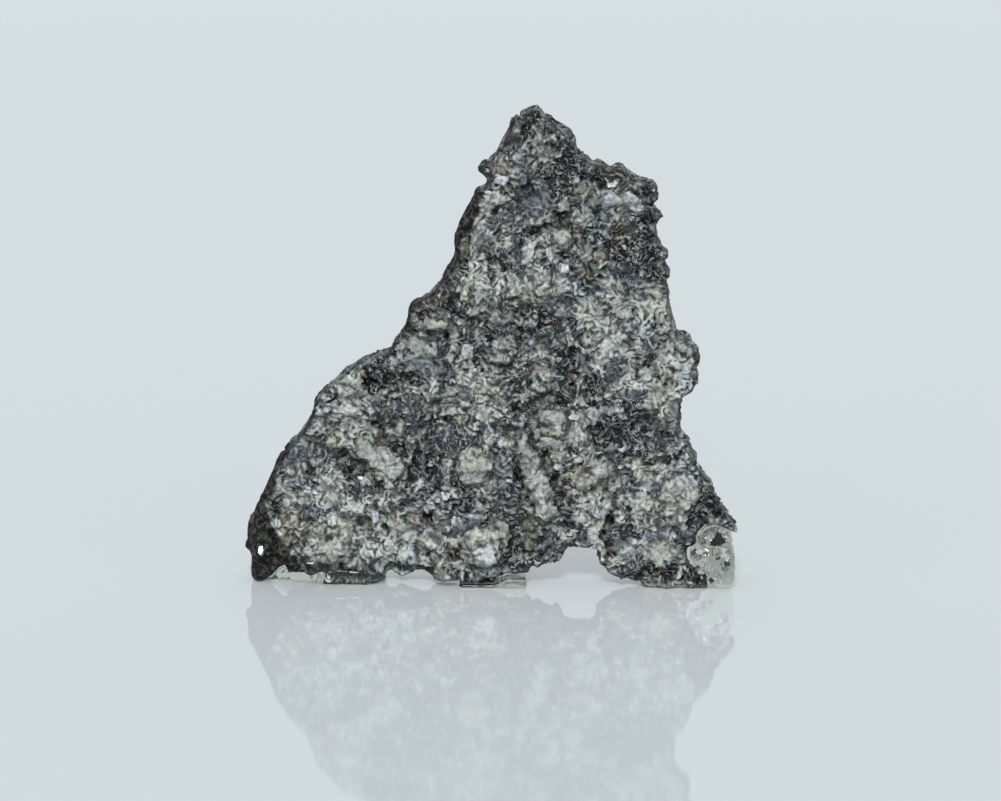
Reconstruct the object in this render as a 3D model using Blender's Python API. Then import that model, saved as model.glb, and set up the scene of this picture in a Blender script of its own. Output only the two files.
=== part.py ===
"""A shergottite meteorite: one thin broken slice, standing on three small pads of clear gel.

Sizes are in millimetres and turned to metres as each mesh is finished. X runs to the right along
the slice, Y runs away from the viewer through its thickness, Z is up, and the slice and its pads
rest on Z = 0.
"""
from math import radians

import bmesh
import bpy
import numpy as np
from mathutils import Matrix, Vector, noise

MM = 0.001

# Driving dimensions, in millimetres
SLICE_THICKNESS = 4.6
FRONT = -SLICE_THICKNESS / 2
BACK = SLICE_THICKNESS / 2
FOOT_ROOT = -1.2            # the foot is made this deep, then sawn off flat at Z = 0
CREST_DROP = 0.95           # a top edge's crest lies behind the face, so it is lower than it looks
PAD_BACK = 5.2              # the pads reach this far behind the middle of the slice
LEFT_PAD_START = -24.5
LEFT_PAD_LENGTH = 13.2
MIDDLE_PAD_START = -3.6
MIDDLE_PAD_LENGTH = 7.3
MIDDLE_PAD_FRONT = -2.8
RIGHT_PAD_HEIGHT = 6.6

# How fine the slice is: the size of a grain of the first mesh, and the faces it is thinned to
GRAIN = 0.34
SLICE_TRIANGLES = 8000
PAD_FACET = 1.1             # the pads are cut into facets about this wide, so that they can bulge

# How the edges of the two faces round over: the width, then how far the face falls back
CRUST_FALL = 1.9
RIM_ROUNDING = (1.0, 1.3)
UNDERSIDE_ROUNDING = (0.6, 0.45)
BACK_ROUNDING = (1.1, 1.1)

# Uneven relief: how big the lumps are, which noise they come from, and how far they rise
FACE_SWELL = (7.0, 1.5, 0.55)
FACE_LUMPS = (2.4, 4.5, 0.55)
FACE_RIDGES = (1.7, 7.5, 0.50)
RIM_CHIPS = (3.0, 11.5, 0.6)
BACK_SWELL = (6.0, 21.5, 0.6)
BACK_LUMPS = (2.2, 24.5, 0.45)
WALL_ROUGHNESS = 0.34
WALL_LUMP = 1.1
WALL_CHIP = 0.5
SHELTER = 1.6               # the crusted and the lower walls are smoother within this distance

# The slice's outline on its face, as (x, z), clockwise from the lower left corner
CRUSTED_WALL = [
    (-24.2, 0.3), (-24.7, -0.1), (-25.5, -0.1), (-26.0, 0.5), (-26.0, 1.6), (-25.9, 2.5), (-26.0, 3.2),
    (-26.8, 3.8), (-26.3, 4.5), (-26.4, 5.6), (-26.2, 6.3), (-26.4, 6.8), (-25.8, 7.6), (-25.0, 9.4),
    (-24.0, 11.5), (-23.5, 12.8), (-23.2, 13.7), (-22.0, 15.5), (-20.7, 16.8), (-20.0, 17.6),
    (-19.3, 19.0), (-19.2, 20.2), (-18.9, 20.9), (-17.6, 22.3), (-16.0, 23.8), (-14.1, 25.1),
    (-11.9, 26.2), (-11.3, 26.1), (-10.6, 27.0), (-9.6, 28.1), (-9.2, 29.3), (-9.1, 30.6),
    (-8.6, 31.4), (-6.9, 32.3), (-5.6, 33.6), (-5.3, 34.4), (-4.2, 36.2), (-4.3, 38.0),
    (-3.8, 39.6), (-2.7, 41.7), (-2.0, 43.5), (-1.5, 43.8), (-0.9, 43.7), (-1.0, 44.5),
    (-2.1, 45.1), (-1.8, 45.9), (-0.1, 47.3), (0.7, 48.4), (1.4, 49.8), (1.6, 50.8),
]
CROWN = [
    (1.6, 50.8), (2.8, 51.9), (3.5, 52.4), (4.1, 52.6), (4.5, 52.4), (4.9, 51.6), (6.1, 51.3),
    (7.0, 50.3), (7.6, 50.2), (8.0, 49.6), (8.4, 48.3), (8.9, 47.7), (10.4, 46.6), (10.9, 46.8),
    (11.8, 46.1), (12.7, 46.5), (13.2, 46.4), (13.6, 45.9), (15.5, 44.9), (16.3, 44.7), (16.8, 44.3),
]
RAGGED_RIM = [
    (16.8, 44.3), (17.1, 43.4), (16.9, 42.9), (17.7, 42.6), (16.5, 42.0), (17.1, 41.4), (18.2, 40.8),
    (16.9, 39.8), (17.1, 38.4), (17.5, 37.7), (18.4, 36.6), (18.0, 36.1), (17.9, 35.2), (18.7, 34.4),
    (18.0, 33.4), (18.5, 32.6), (18.5, 31.6), (18.8, 30.0), (19.3, 28.6), (20.4, 28.1), (21.3, 26.9),
    (22.0, 25.7), (21.5, 23.8), (21.8, 22.9), (21.3, 21.7), (20.2, 20.6), (19.9, 20.1), (20.0, 18.0),
    (20.0, 17.4), (20.6, 17.0), (21.2, 15.6), (21.7, 14.6), (21.7, 13.6), (22.7, 12.6), (23.5, 11.8),
    (23.7, 10.8), (24.7, 9.4), (25.0, 8.6), (25.5, 7.9), (25.9, 7.4), (26.5, 6.7), (26.5, 6.0),
]
GEL_HOLLOW = [
    (26.5, 6.0), (25.9, 6.1), (24.2, 7.1), (23.0, 6.8), (22.1, 6.4), (21.9, 5.8), (21.9, 4.8),
    (21.2, 4.4), (20.8, 3.8), (20.9, 3.0), (21.6, 2.3), (22.2, 1.9), (22.4, 1.2), (23.2, 1.0),
]
UNDERSIDE = [
    (23.2, 1.0), (23.5, 0.4), (23.3, FOOT_ROOT), (16.6, FOOT_ROOT), (16.2, 0.2), (15.5, 0.6),
    (13.8, 0.9), (12.8, 1.3), (12.0, 2.1), (11.3, 2.6), (11.5, 3.4), (11.3, 3.9), (10.7, 4.4),
    (8.9, 4.4), (7.8, 4.1), (7.2, 2.7), (5.7, 2.5), (4.8, 1.9), (4.3, 2.4), (4.0, 1.6), (2.7, 1.4),
    (1.6, 1.5), (0.9, 1.1), (0.3, 0.75), (-3.2, 0.75), (-3.9, 0.5), (-6.5, 0.4), (-6.1, 1.2),
    (-7.8, 1.35), (-8.9, 1.05), (-9.8, 0.5), (-10.3, 1.0), (-11.2, 1.0), (-12.2, 0.7), (-13.4, 0.45),
    (-16.9, 0.45), (-17.2, 1.2), (-17.6, 2.3), (-18.6, 2.4), (-19.4, 2.1), (-21.5, 2.3), (-22.7, 2.1),
    (-23.2, 1.4), (-24.2, 0.3),
]

# How wide the crust is as it rounds over from the face to the wall, by height: (z, width)
CRUST_WIDTH = [
    (0.0, 2.4), (4.0, 3.2), (7.0, 2.2), (9.0, 1.2), (15.0, 0.9), (17.0, 0.5), (27.0, 0.6),
    (30.0, 1.2), (33.0, 1.7), (38.0, 1.9), (43.0, 1.4), (46.0, 0.8), (51.0, 0.7),
]

# Below this line, as (x, z), the face is undercut, and the stone's foot stands this far back
LEDGE = [(-18.6, 2.5), (-16.0, 2.6), (-12.0, 2.4), (-9.0, 2.3), (-6.4, 2.1)]
LEDGE_DEPTH = [(-18.6, 0.0), (-17.9, 2.3), (-11.5, 2.3), (-10.0, 1.2), (-7.0, 1.0), (-5.8, 0.0)]
LEDGE_FALL = 0.7            # the height over which the undercut reaches its depth

# Forms of the face, as (x, z, length, height, turn in degrees, rise towards the viewer)
GRAINS = [
    (-0.4, 4.7, 5.2, 5.4, 0, 0.75),
    (-17.9, 4.3, 5.6, 3.6, 5, 0.5),
    (-22.3, 7.2, 2.4, 2.2, -20, 0.5),
    (-14.0, 8.6, 7.0, 2.6, 5, 0.35),
    (-16.9, 10.8, 2.6, 3.0, 0, 0.35),
    (-11.8, 13.2, 3.8, 3.2, -10, 0.45),
    (-13.0, 15.4, 3.4, 2.0, -25, 0.35),
    (-16.5, 17.0, 4.2, 2.4, 0, 0.3),
    (-15.9, 21.9, 2.6, 2.0, 10, 0.3),
    (-2.3, 13.0, 3.6, 4.0, 0, 0.4),
    (4.8, 12.4, 10.8, 2.7, -65, 0.65),
    (10.6, 11.8, 3.4, 2.4, 8, 0.5),
    (9.9, 8.2, 3.2, 3.6, 0, 0.4),
    (5.6, 8.7, 2.8, 2.4, -15, 0.35),
    (7.8, 6.2, 2.3, 2.2, 0, 0.3),
    (4.0, 5.5, 1.7, 3.2, -8, 0.45),
    (13.6, 8.2, 1.5, 2.6, -12, 0.35),
    (16.8, 6.8, 3.5, 5.0, 0, 0.3),
    (18.6, 11.5, 4.5, 4.0, 0, 0.3),
    (5.8, 19.2, 2.6, 2.6, 0, 0.5),
    (7.3, 17.1, 3.2, 2.0, 10, 0.35),
    (9.0, 14.6, 5.0, 1.8, 5, 0.3),
    (-2.5, 22.8, 2.6, 2.2, 20, 0.35),
    (-3.2, 25.5, 3.0, 2.6, 15, 0.35),
    (-8.0, 26.3, 4.2, 2.4, 10, 0.4),
    (1.2, 27.1, 2.0, 2.2, 0, 0.4),
    (3.3, 29.2, 2.4, 1.4, -10, 0.35),
    (-7.0, 28.8, 3.2, 1.5, -10, 0.3),
    (-2.0, 33.4, 3.8, 4.4, 0, 0.35),
    (4.2, 37.4, 3.8, 3.2, 15, 0.3),
    (7.1, 38.8, 2.2, 2.2, 0, 0.35),
    (13.8, 29.6, 10.0, 7.0, -20, 0.3),
    (18.4, 23.6, 5.0, 4.0, 0, 0.3),
    (13.1, 42.6, 5.4, 2.0, 3, 0.5),
    (9.2, 43.4, 1.8, 2.2, 0, 0.3),
    (0.9, 45.2, 3.8, 1.9, -22, 0.4),
    (0.1, 42.7, 2.8, 2.4, 20, 0.3),
    (3.9, 47.9, 3.8, 2.2, 5, 0.35),
]
KNOBS = [
    (2.9, 2.3, 2.3, 1.7, 0, 0.55),
    (-24.6, 4.6, 2.8, 4.2, 0, 0.8),
    (16.6, 43.6, 1.8, 1.8, 0, 0.5),
    (16.8, 40.8, 2.2, 1.6, -20, 0.45),
    (17.3, 36.8, 2.0, 1.8, 0, 0.5),
    (17.9, 34.3, 1.4, 1.4, 0, 0.4),
    (24.2, 9.4, 2.4, 2.2, -40, 0.5),
    (22.9, 11.6, 1.6, 2.2, 0, 0.35),
    (-8.0, 31.0, 2.0, 1.8, 0, 0.35),
    (21.4, 1.0, 3.6, 1.4, 0, 0.45),
    (-5.2, 1.2, 2.0, 1.2, 0, 0.35),
]
SUNKEN_GLASS = [
    (6.0, 45.3, 6.0, 2.8, -10, -0.45),
    (14.8, 38.4, 5.0, 4.6, 0, -0.5),
    (5.9, 29.0, 4.6, 1.6, 5, -0.5),
    (-12.4, 23.6, 5.0, 3.0, 20, -0.5),
    (-9.6, 18.6, 6.2, 5.4, 25, -0.4),
    (-5.0, 16.2, 5.0, 3.2, 10, -0.4),
    (-7.6, 13.2, 2.4, 2.6, 0, -0.45),
    (12.6, 16.8, 3.6, 3.2, -20, -0.45),
    (16.8, 16.6, 5.0, 3.2, -15, -0.45),
    (14.5, 19.6, 4.0, 1.6, -25, -0.35),
    (9.3, 24.2, 2.8, 4.0, 15, -0.45),
    (-7.0, 9.6, 4.6, 3.0, -20, -0.3),
    (1.4, 9.2, 3.0, 2.0, 0, -0.35),
    (-15.4, 13.6, 2.6, 2.0, -40, -0.4),
    (12.0, 45.2, 2.6, 1.8, -10, -0.4),
]
PITS = [
    (-13.9, 7.4, 1.7, 1.0, -8, -0.95),
    (-14.2, 6.7, 0.9, 0.7, -20, -0.6),
    (-11.6, 6.6, 1.3, 0.6, -8, -0.8),
    (3.2, 30.5, 1.6, 0.9, 30, -1.1),
    (8.0, 22.0, 1.0, 2.0, 8, -1.1),
    (-6.0, 27.4, 2.4, 1.1, -15, -0.85),
    (-12.9, 22.1, 1.5, 0.8, -10, -0.85),
    (-9.3, 23.0, 1.4, 1.0, -20, -0.75),
    (17.2, 23.0, 1.1, 0.9, 20, -0.7),
    (19.4, 2.2, 1.1, 1.0, 0, -0.8),
    (16.9, 2.4, 1.5, 1.1, -20, -0.8),
    (-3.0, 37.2, 1.6, 1.6, 0, -0.5),
    (2.3, 37.6, 0.9, 1.9, 10, -0.6),
    (-6.9, 7.8, 1.6, 0.8, -20, -0.7),
    (12.6, 7.6, 0.9, 1.8, 0, -0.5),
]
CRACK_WIDTH = 0.45
CRACK_DEPTH = 0.5
CRACKS = [
    [(-21.7, 4.0), (-20.8, 4.7), (-19.8, 5.5)],
    [(-18.6, 18.3), (-15.4, 18.2), (-12.8, 18.4)],
    [(-12.6, 20.4), (-12.6, 18.4), (-12.1, 16.8)],
    [(-6.3, 20.0), (-6.2, 18.6), (-7.4, 17.4), (-8.1, 15.8), (-8.0, 14.0)],
    [(-20.6, 15.2), (-20.2, 13.4), (-19.3, 11.2)],
    [(-3.1, 6.6), (-1.4, 7.7), (0.7, 7.8), (2.1, 7.0), (2.6, 5.6)],
    [(4.2, 20.2), (5.2, 20.9), (6.4, 21.0), (7.6, 20.3)],
    [(0.0, 41.0), (2.0, 42.0), (3.5, 43.4)],
    [(2.8, 38.8), (5.6, 39.3), (7.5, 40.1), (8.4, 41.3), (10.4, 42.2), (11.6, 43.0)],
    [(19.1, 6.3), (20.2, 7.0), (21.4, 6.7)],
    [(-8.0, 14.2), (-5.6, 14.3), (-3.9, 15.0)],
    [(2.1, 15.6), (2.6, 13.2), (3.2, 11.0), (4.4, 8.6)],
    [(4.8, 16.2), (6.0, 13.6), (6.9, 11.0), (7.6, 9.0)],
    [(12.4, 13.2), (12.3, 10.4), (12.6, 7.6), (11.6, 5.4)],
]

# Feldspar-glass laths and pyroxene blades that stand proud: (x, z, length, width, turn, rise)
CRYSTALS = [
    (-16.3, 19.6, 4.0, 1.6, 0, 0.65),
    (-13.3, 19.5, 1.6, 1.2, -40, 0.5),
    (-4.5, 19.4, 3.1, 1.2, 6, 0.55),
    (1.3, 46.8, 1.5, 0.55, 65, 0.5),
    (1.8, 48.3, 1.0, 0.5, 70, 0.45),
    (5.8, 38.2, 1.3, 0.5, -75, 0.5),
    (5.6, 36.6, 1.1, 0.5, -60, 0.5),
    (7.6, 35.3, 1.6, 0.8, 30, 0.5),
    (-15.5, 12.9, 1.7, 0.45, -48, 0.6),
    (-8.5, 9.4, 1.9, 0.5, -35, 0.55),
    (-7.1, 8.6, 1.4, 0.45, -60, 0.5),
    (-4.8, 10.2, 1.5, 0.6, -50, 0.5),
    (-5.9, 9.6, 1.2, 0.5, 70, 0.45),
    (-2.1, 8.6, 2.1, 0.8, -3, 0.55),
    (6.2, 5.2, 1.7, 0.7, 88, 0.5),
    (8.4, 18.8, 1.1, 0.8, 35, 0.5),
    (15.1, 41.2, 1.4, 0.6, 5, 0.5),
    (8.9, 22.3, 1.4, 0.5, -70, 0.6),
    (-12.4, 7.7, 0.9, 0.8, 0, 0.45),
    (0.4, 28.9, 0.9, 0.7, 20, 0.45),
    (9.6, 26.0, 2.2, 0.9, -40, 0.4),
    (10.2, 16.3, 1.6, 0.55, 60, 0.5),
    (11.3, 16.2, 1.4, 0.5, -60, 0.5),
    (-19.6, 2.9, 1.1, 0.5, 5, 0.4),
    (15.0, 14.6, 1.3, 0.6, 20, 0.4),
    (-12.9, 24.4, 1.5, 0.45, 35, 0.6),
    (-11.6, 23.7, 1.5, 0.45, -45, 0.6),
]
CRYSTAL_ROOT = 0.9          # how deep a crystal's foot is set into the stone
CRYSTAL_TOP = (0.86, 1.0, 0.62)     # its flat top's length and width, as shares of its foot's
CRYSTAL_LEAN = 6            # degrees


def clear_scene():
    for old in list(bpy.data.objects):
        bpy.data.objects.remove(old, do_unlink=True)


def linear(value):
    return value / 12.92 if value <= 0.04045 else ((value + 0.055) / 1.055) ** 2.4


def material(name, colour, roughness, transmission=0.0, ior=1.5):
    """A plain finish; colour is an sRGB hex string."""
    made = bpy.data.materials.new(name)
    made.use_nodes = True
    shader = made.node_tree.nodes["Principled BSDF"]
    channels = [linear(int(colour[i:i + 2], 16) / 255) for i in (0, 2, 4)]
    shader.inputs["Base Color"].default_value = (*channels, 1.0)
    shader.inputs["Roughness"].default_value = roughness
    shader.inputs["Metallic"].default_value = 0.0
    shader.inputs["Transmission Weight"].default_value = transmission
    shader.inputs["IOR"].default_value = ior
    return made


def new_object(name, bm, finish):
    """An object with the bmesh's shape, turned from millimetres to metres."""
    bmesh.ops.transform(bm, matrix=Matrix.Scale(MM, 4), verts=bm.verts)
    mesh = bpy.data.meshes.new(name)
    bm.to_mesh(mesh)
    bm.free()
    made = bpy.data.objects.new(name, mesh)
    bpy.context.collection.objects.link(made)
    mesh.materials.append(finish)
    return made


def bake(obj):
    """Replaces the object's mesh with what its modifiers make of it, and removes them."""
    graph = bpy.context.evaluated_depsgraph_get()
    baked = bpy.data.meshes.new_from_object(obj.evaluated_get(graph))
    obj.modifiers.clear()
    obj.data = baked


def extruded(outline, near, far):
    """A closed slab with the (x, z) outline, from Y = near to Y = far."""
    bm = bmesh.new()
    rim = [bm.verts.new((x, near, z)) for x, z in outline]
    face = bm.faces.new(rim)
    swept = bmesh.ops.extrude_face_region(bm, geom=[face])
    moved = [item for item in swept["geom"] if isinstance(item, bmesh.types.BMVert)]
    bmesh.ops.translate(bm, vec=(0, far - near, 0), verts=moved)
    bmesh.ops.recalc_face_normals(bm, faces=bm.faces)
    return bm


def smooth_step(value):
    value = np.clip(value, 0.0, 1.0)
    return value * value * (3 - 2 * value)


def distance_to(path, x, z):
    """The distance of each point (x, z) from an open path of points."""
    best = np.full(x.shape, np.inf)
    for (x0, z0), (x1, z1) in zip(path, path[1:]):
        dx = x1 - x0
        dz = z1 - z0
        along = np.clip(((x - x0) * dx + (z - z0) * dz) / (dx * dx + dz * dz), 0, 1)
        best = np.minimum(best, np.hypot(x - x0 - along * dx, z - z0 - along * dz))
    return best


def form(x, z, centre_x, centre_z, length, height, turn, rise):
    """A flat-topped mound, or a flat-floored hollow, with an oval plan."""
    angle = radians(turn)
    dx = x - centre_x
    dz = z - centre_z
    along = (dx * np.cos(angle) + dz * np.sin(angle)) / (length / 2)
    across = (dz * np.cos(angle) - dx * np.sin(angle)) / (height / 2)
    return rise * smooth_step((1.2 - np.hypot(along, across)) / 0.45)


def uneven(x, z, relief):
    """Perlin noise over the face: relief holds its lump size, its layer and its height."""
    size, layer, rise = relief
    values = [noise.noise(Vector((a / size, layer, b / size))) for a, b in zip(x, z)]
    return rise * np.array(values)


def rounded_over(distance, width, depth):
    """How far the face falls back near an edge: all of depth at the edge, none beyond width."""
    inward = np.clip(distance / width, 0, 1)
    return depth * (1 - np.sqrt(1 - (1 - inward) ** 2))


def face_height(x, z):
    """How far the face stands out towards the viewer from its mean plane."""
    height = np.zeros(x.shape)
    for shape in GRAINS + KNOBS + SUNKEN_GLASS + PITS:
        height = height + form(x, z, *shape)
    for crack in CRACKS:
        height = height - CRACK_DEPTH * smooth_step(1 - distance_to(crack, x, z) / CRACK_WIDTH)
    height = height + uneven(x, z, FACE_SWELL) + uneven(x, z, FACE_LUMPS)
    return height + FACE_RIDGES[2] / 2 - 2 * np.abs(uneven(x, z, FACE_RIDGES))


def front_of(x, z):
    """The Y of the front face, which rounds over at the crust and is chipped along the broken edges."""
    width = np.interp(z, *zip(*CRUST_WIDTH))
    crust = rounded_over(distance_to(CRUSTED_WALL, x, z), width, CRUST_FALL)
    chipped = 0.8 + uneven(x, z, RIM_CHIPS)
    rim = rounded_over(distance_to(CROWN + RAGGED_RIM[1:], x, z), *RIM_ROUNDING) * chipped
    under = rounded_over(distance_to(GEL_HOLLOW + UNDERSIDE[1:], x, z), *UNDERSIDE_ROUNDING)
    below = np.interp(x, *zip(*LEDGE)) - z
    ledge = np.interp(x, *zip(*LEDGE_DEPTH)) * smooth_step(below / LEDGE_FALL)
    fall = np.maximum(np.maximum(crust, rim), under + ledge)
    fade = smooth_step(1 - fall / 1.2)
    return FRONT + fall - face_height(x, z) * (0.25 + 0.75 * fade)


def back_of(x, z):
    """The Y of the back face: the same break, with low broad relief."""
    outline = CRUSTED_WALL + CROWN[1:] + RAGGED_RIM[1:] + GEL_HOLLOW[1:] + UNDERSIDE[1:]
    fall = rounded_over(distance_to(outline, x, z), *BACK_ROUNDING)
    lumps = uneven(x, z, BACK_SWELL) + uneven(x, z, BACK_LUMPS)
    return BACK - fall + lumps * smooth_step(1 - fall / 1.4)


def seated_outline():
    """The outline, with each top edge lowered to where its crest really is."""
    points = CRUSTED_WALL + CROWN[1:] + RAGGED_RIM[1:] + GEL_HOLLOW[1:] + UNDERSIDE[1:-1]
    lowered = []
    for index, (x, z) in enumerate(points):
        before = points[index - 1]
        after = points[(index + 1) % len(points)]
        run = after[0] - before[0]
        length = np.hypot(run, after[1] - before[1])
        lowered.append((x, z - CREST_DROP * max(run / length, 0)))
    return lowered


def roughen(mesh):
    """Shapes the plain slab: its two faces, and the broken walls between them."""
    count = len(mesh.vertices)
    points = np.empty(count * 3)
    normals = np.empty(count * 3)
    mesh.vertices.foreach_get("co", points)
    mesh.vertices.foreach_get("normal", normals)
    points = points.reshape(-1, 3) / MM
    normals = normals.reshape(-1, 3)
    x = points[:, 0]
    z = points[:, 2]
    crusted = smooth_step(SHELTER - distance_to(CRUSTED_WALL, x, z))
    sheltered = smooth_step(SHELTER - distance_to(GEL_HOLLOW + UNDERSIDE[1:], x, z))
    rough = WALL_ROUGHNESS * (1 - 0.7 * crusted) * (1 - 0.6 * sheltered)
    for index, (point, normal) in enumerate(zip(points, normals)):
        place = Vector(point)
        push = noise.noise(place / WALL_LUMP) + 0.6 * noise.noise(place / WALL_CHIP)
        point[0] += normal[0] * push * rough[index]
        point[2] += normal[2] * push * rough[index]
    front = front_of(x, z)
    back = np.maximum(back_of(x, z), front + 1.0)
    depth = (points[:, 1] - FRONT) / SLICE_THICKNESS
    points[:, 1] = front + depth * (back - front)
    mesh.vertices.foreach_set("co", (points * MM).ravel())
    mesh.update()


def crystals():
    """All the standing crystals in one mesh: flat-topped blades with chamfered shoulders."""
    bm = bmesh.new()
    for x, z, length, width, turn, rise in CRYSTALS:
        surface = float(front_of(np.array([x]), np.array([z]))[0])
        made = bmesh.ops.create_cube(bm, size=1.0)["verts"]
        top = [v for v in made if v.co.y < 0]
        bmesh.ops.scale(bm, vec=CRYSTAL_TOP, verts=top)
        height = rise + CRYSTAL_ROOT
        lean = Matrix.Rotation(radians(CRYSTAL_LEAN * noise.noise(Vector((x, 0.5, z)))), 4, "X")
        place = Matrix.Translation((x, surface + CRYSTAL_ROOT - height / 2, z))
        spin = Matrix.Rotation(-radians(turn), 4, "Y")
        size = Matrix.Diagonal((length, height, width, 1.0))
        bmesh.ops.transform(bm, matrix=place @ spin @ lean @ size, verts=made)
    return bm


def make_slice(finish):
    """The stone: one solid, with its crystals grown on and its foot sawn flat."""
    stone = new_object("shergottite_slice", extruded(seated_outline(), FRONT, BACK), finish)
    remesh = stone.modifiers.new("even mesh", "REMESH")
    remesh.mode = "VOXEL"
    remesh.voxel_size = GRAIN * MM
    bake(stone)
    roughen(stone.data)
    thin = stone.modifiers.new("thin out", "DECIMATE")
    thin.ratio = SLICE_TRIANGLES / (2 * len(stone.data.polygons))
    bake(stone)
    blades = new_object("blade_cutter", crystals(), finish)
    blades.hide_render = True
    blades.display_type = "WIRE"
    grow = stone.modifiers.new("grow crystals", "BOOLEAN")
    grow.operation = "UNION"
    grow.use_self = True
    grow.object = blades
    bake(stone)
    bpy.data.objects.remove(blades, do_unlink=True)
    bm = bmesh.new()
    bm.from_mesh(stone.data)
    everything = bm.verts[:] + bm.edges[:] + bm.faces[:]
    cut = bmesh.ops.bisect_plane(
        bm, geom=everything, plane_co=(0, 0, 0), plane_no=(0, 0, -1), clear_outer=True)
    rim = [item for item in cut["geom_cut"] if isinstance(item, bmesh.types.BMEdge)]
    bmesh.ops.holes_fill(bm, edges=rim)
    bmesh.ops.recalc_face_normals(bm, faces=bm.faces)
    bm.to_mesh(stone.data)
    bm.free()
    return stone


def lay_pad(name, outline, front, back, finish):
    """A gel pad with the (x, z) outline; front and back give its Y at each (x, z)."""
    bm = extruded(outline, 0.0, 1.0)
    left = min(x for x, z in outline)
    right = max(x for x, z in outline)
    top = max(z for x, z in outline)
    cuts = [((x, 0, 0), (1, 0, 0)) for x in np.arange(left + PAD_FACET, right, PAD_FACET)]
    cuts += [((0, 0, z), (0, 0, 1)) for z in np.arange(PAD_FACET, top, PAD_FACET)]
    cuts += [((0, y, 0), (0, 1, 0)) for y in (0.12, 0.5, 0.88)]
    for place, normal in cuts:
        everything = bm.verts[:] + bm.edges[:] + bm.faces[:]
        bmesh.ops.bisect_plane(bm, geom=everything, plane_co=place, plane_no=normal)
    bmesh.ops.triangulate(bm, faces=bm.faces)
    for vert in bm.verts:
        near = front(vert.co.x, vert.co.z)
        far = back(vert.co.x, vert.co.z)
        vert.co.y = near + vert.co.y * (far - near)
    return new_object(name, bm, finish)


def left_pad(finish):
    """A low tongue under the crusted corner, which runs on in front of the undercut foot."""
    start = LEFT_PAD_START
    step = start + 6.4
    end = start + LEFT_PAD_LENGTH
    outline = [
        (start, 0.0), (start + 0.3, 0.15), (-23.6, 0.55), (-22.9, 1.2), (-21.6, 1.7), (-19.4, 1.5),
        (step - 0.4, 1.75), (step, 1.75), (step + 0.1, 1.75), (-16.6, 1.7), (-13.5, 1.5), (-12.0, 1.2),
        (end, 0.7), (end - 0.4, 0.3), (end - 1.4, 0.05), (end - 1.8, 0.0), (step + 0.1, 0.0),
        (step, 0.0),
    ]

    def front(x, z):
        run = (start, -21.0, -18.0, -14.0, -12.0, end)
        return float(np.interp(x, run, (0.2, -0.7, -2.0, -2.1, -1.7, -1.0)))

    def back(x, z):
        run = (start, -23.0, step, step + 0.1, -12.0, end)
        return float(np.interp(x, run, (2.5, PAD_BACK, PAD_BACK, -0.55, -0.6, -0.7)))

    return lay_pad("gel_pad_left", outline, front, back, finish)


def middle_pad(finish):
    """A square-cut slab, stepped up at its right end."""
    start = MIDDLE_PAD_START
    end = start + MIDDLE_PAD_LENGTH
    outline = [
        (start, 0.1), (start, 0.3), (start + 0.2, 0.35), (0.4, 0.35), (1.1, 0.7), (1.6, 1.0),
        (end - 0.2, 1.0), (end, 0.9), (end, 0.1), (end - 0.1, 0.0), (start + 0.2, 0.0),
    ]

    def front(x, z):
        return MIDDLE_PAD_FRONT

    def back(x, z):
        return PAD_BACK

    return lay_pad("gel_pad_middle", outline, front, back, finish)


def right_pad(finish):
    """A tall bulging lump pressed into the hollow under the hooked corner."""
    top = RIGHT_PAD_HEIGHT
    outline = [
        (24.0, 0.0), (23.95, 0.7), (23.6, 1.4), (22.9, 1.6), (22.7, 2.15), (22.0, 2.65), (21.4, 3.2),
        (21.3, 3.7), (21.6, 4.05), (22.35, 4.4), (22.4, 5.8), (23.0, 6.25), (24.2, top - 0.05),
        (25.2, 6.2), (25.5, 5.8), (25.75, 5.2), (25.9, 4.4), (26.0, 3.6), (26.05, 2.5),
        (26.0, 1.2), (25.85, 0.4), (25.6, 0.0),
    ]

    def front(x, z):
        bulge = np.sin(np.pi * np.clip(z / top, 0, 1)) ** 0.6
        side = np.sqrt(np.clip(1 - ((x - 23.9) / 2.9) ** 2, 0.05, 1))
        return float(-2.0 - 1.4 * bulge * side)

    def back(x, z):
        return float(PAD_BACK - 0.35 * z)

    return lay_pad("gel_pad_right", outline, front, back, finish)


def centre_on_origin(pieces):
    """Moves the meshes, so that the middle of the whole object's box is over the origin."""
    corners = np.array([vert.co for piece in pieces for vert in piece.data.vertices])
    middle = (corners.min(axis=0) + corners.max(axis=0)) / 2
    for piece in pieces:
        piece.data.transform(Matrix.Translation((-middle[0], -middle[1], 0.0)))


def main():
    clear_scene()
    stone = material("broken shergottite", "6C736F", 0.6)
    gel = material("clear mounting gel", "E4E8E6", 0.12, transmission=1.0, ior=1.45)
    pieces = [make_slice(stone), left_pad(gel), middle_pad(gel), right_pad(gel)]
    centre_on_origin(pieces)


main()
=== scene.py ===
from math import cos, pi, radians, sin

import bmesh
import bpy
import numpy as np
from mathutils import Matrix, Vector


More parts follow.
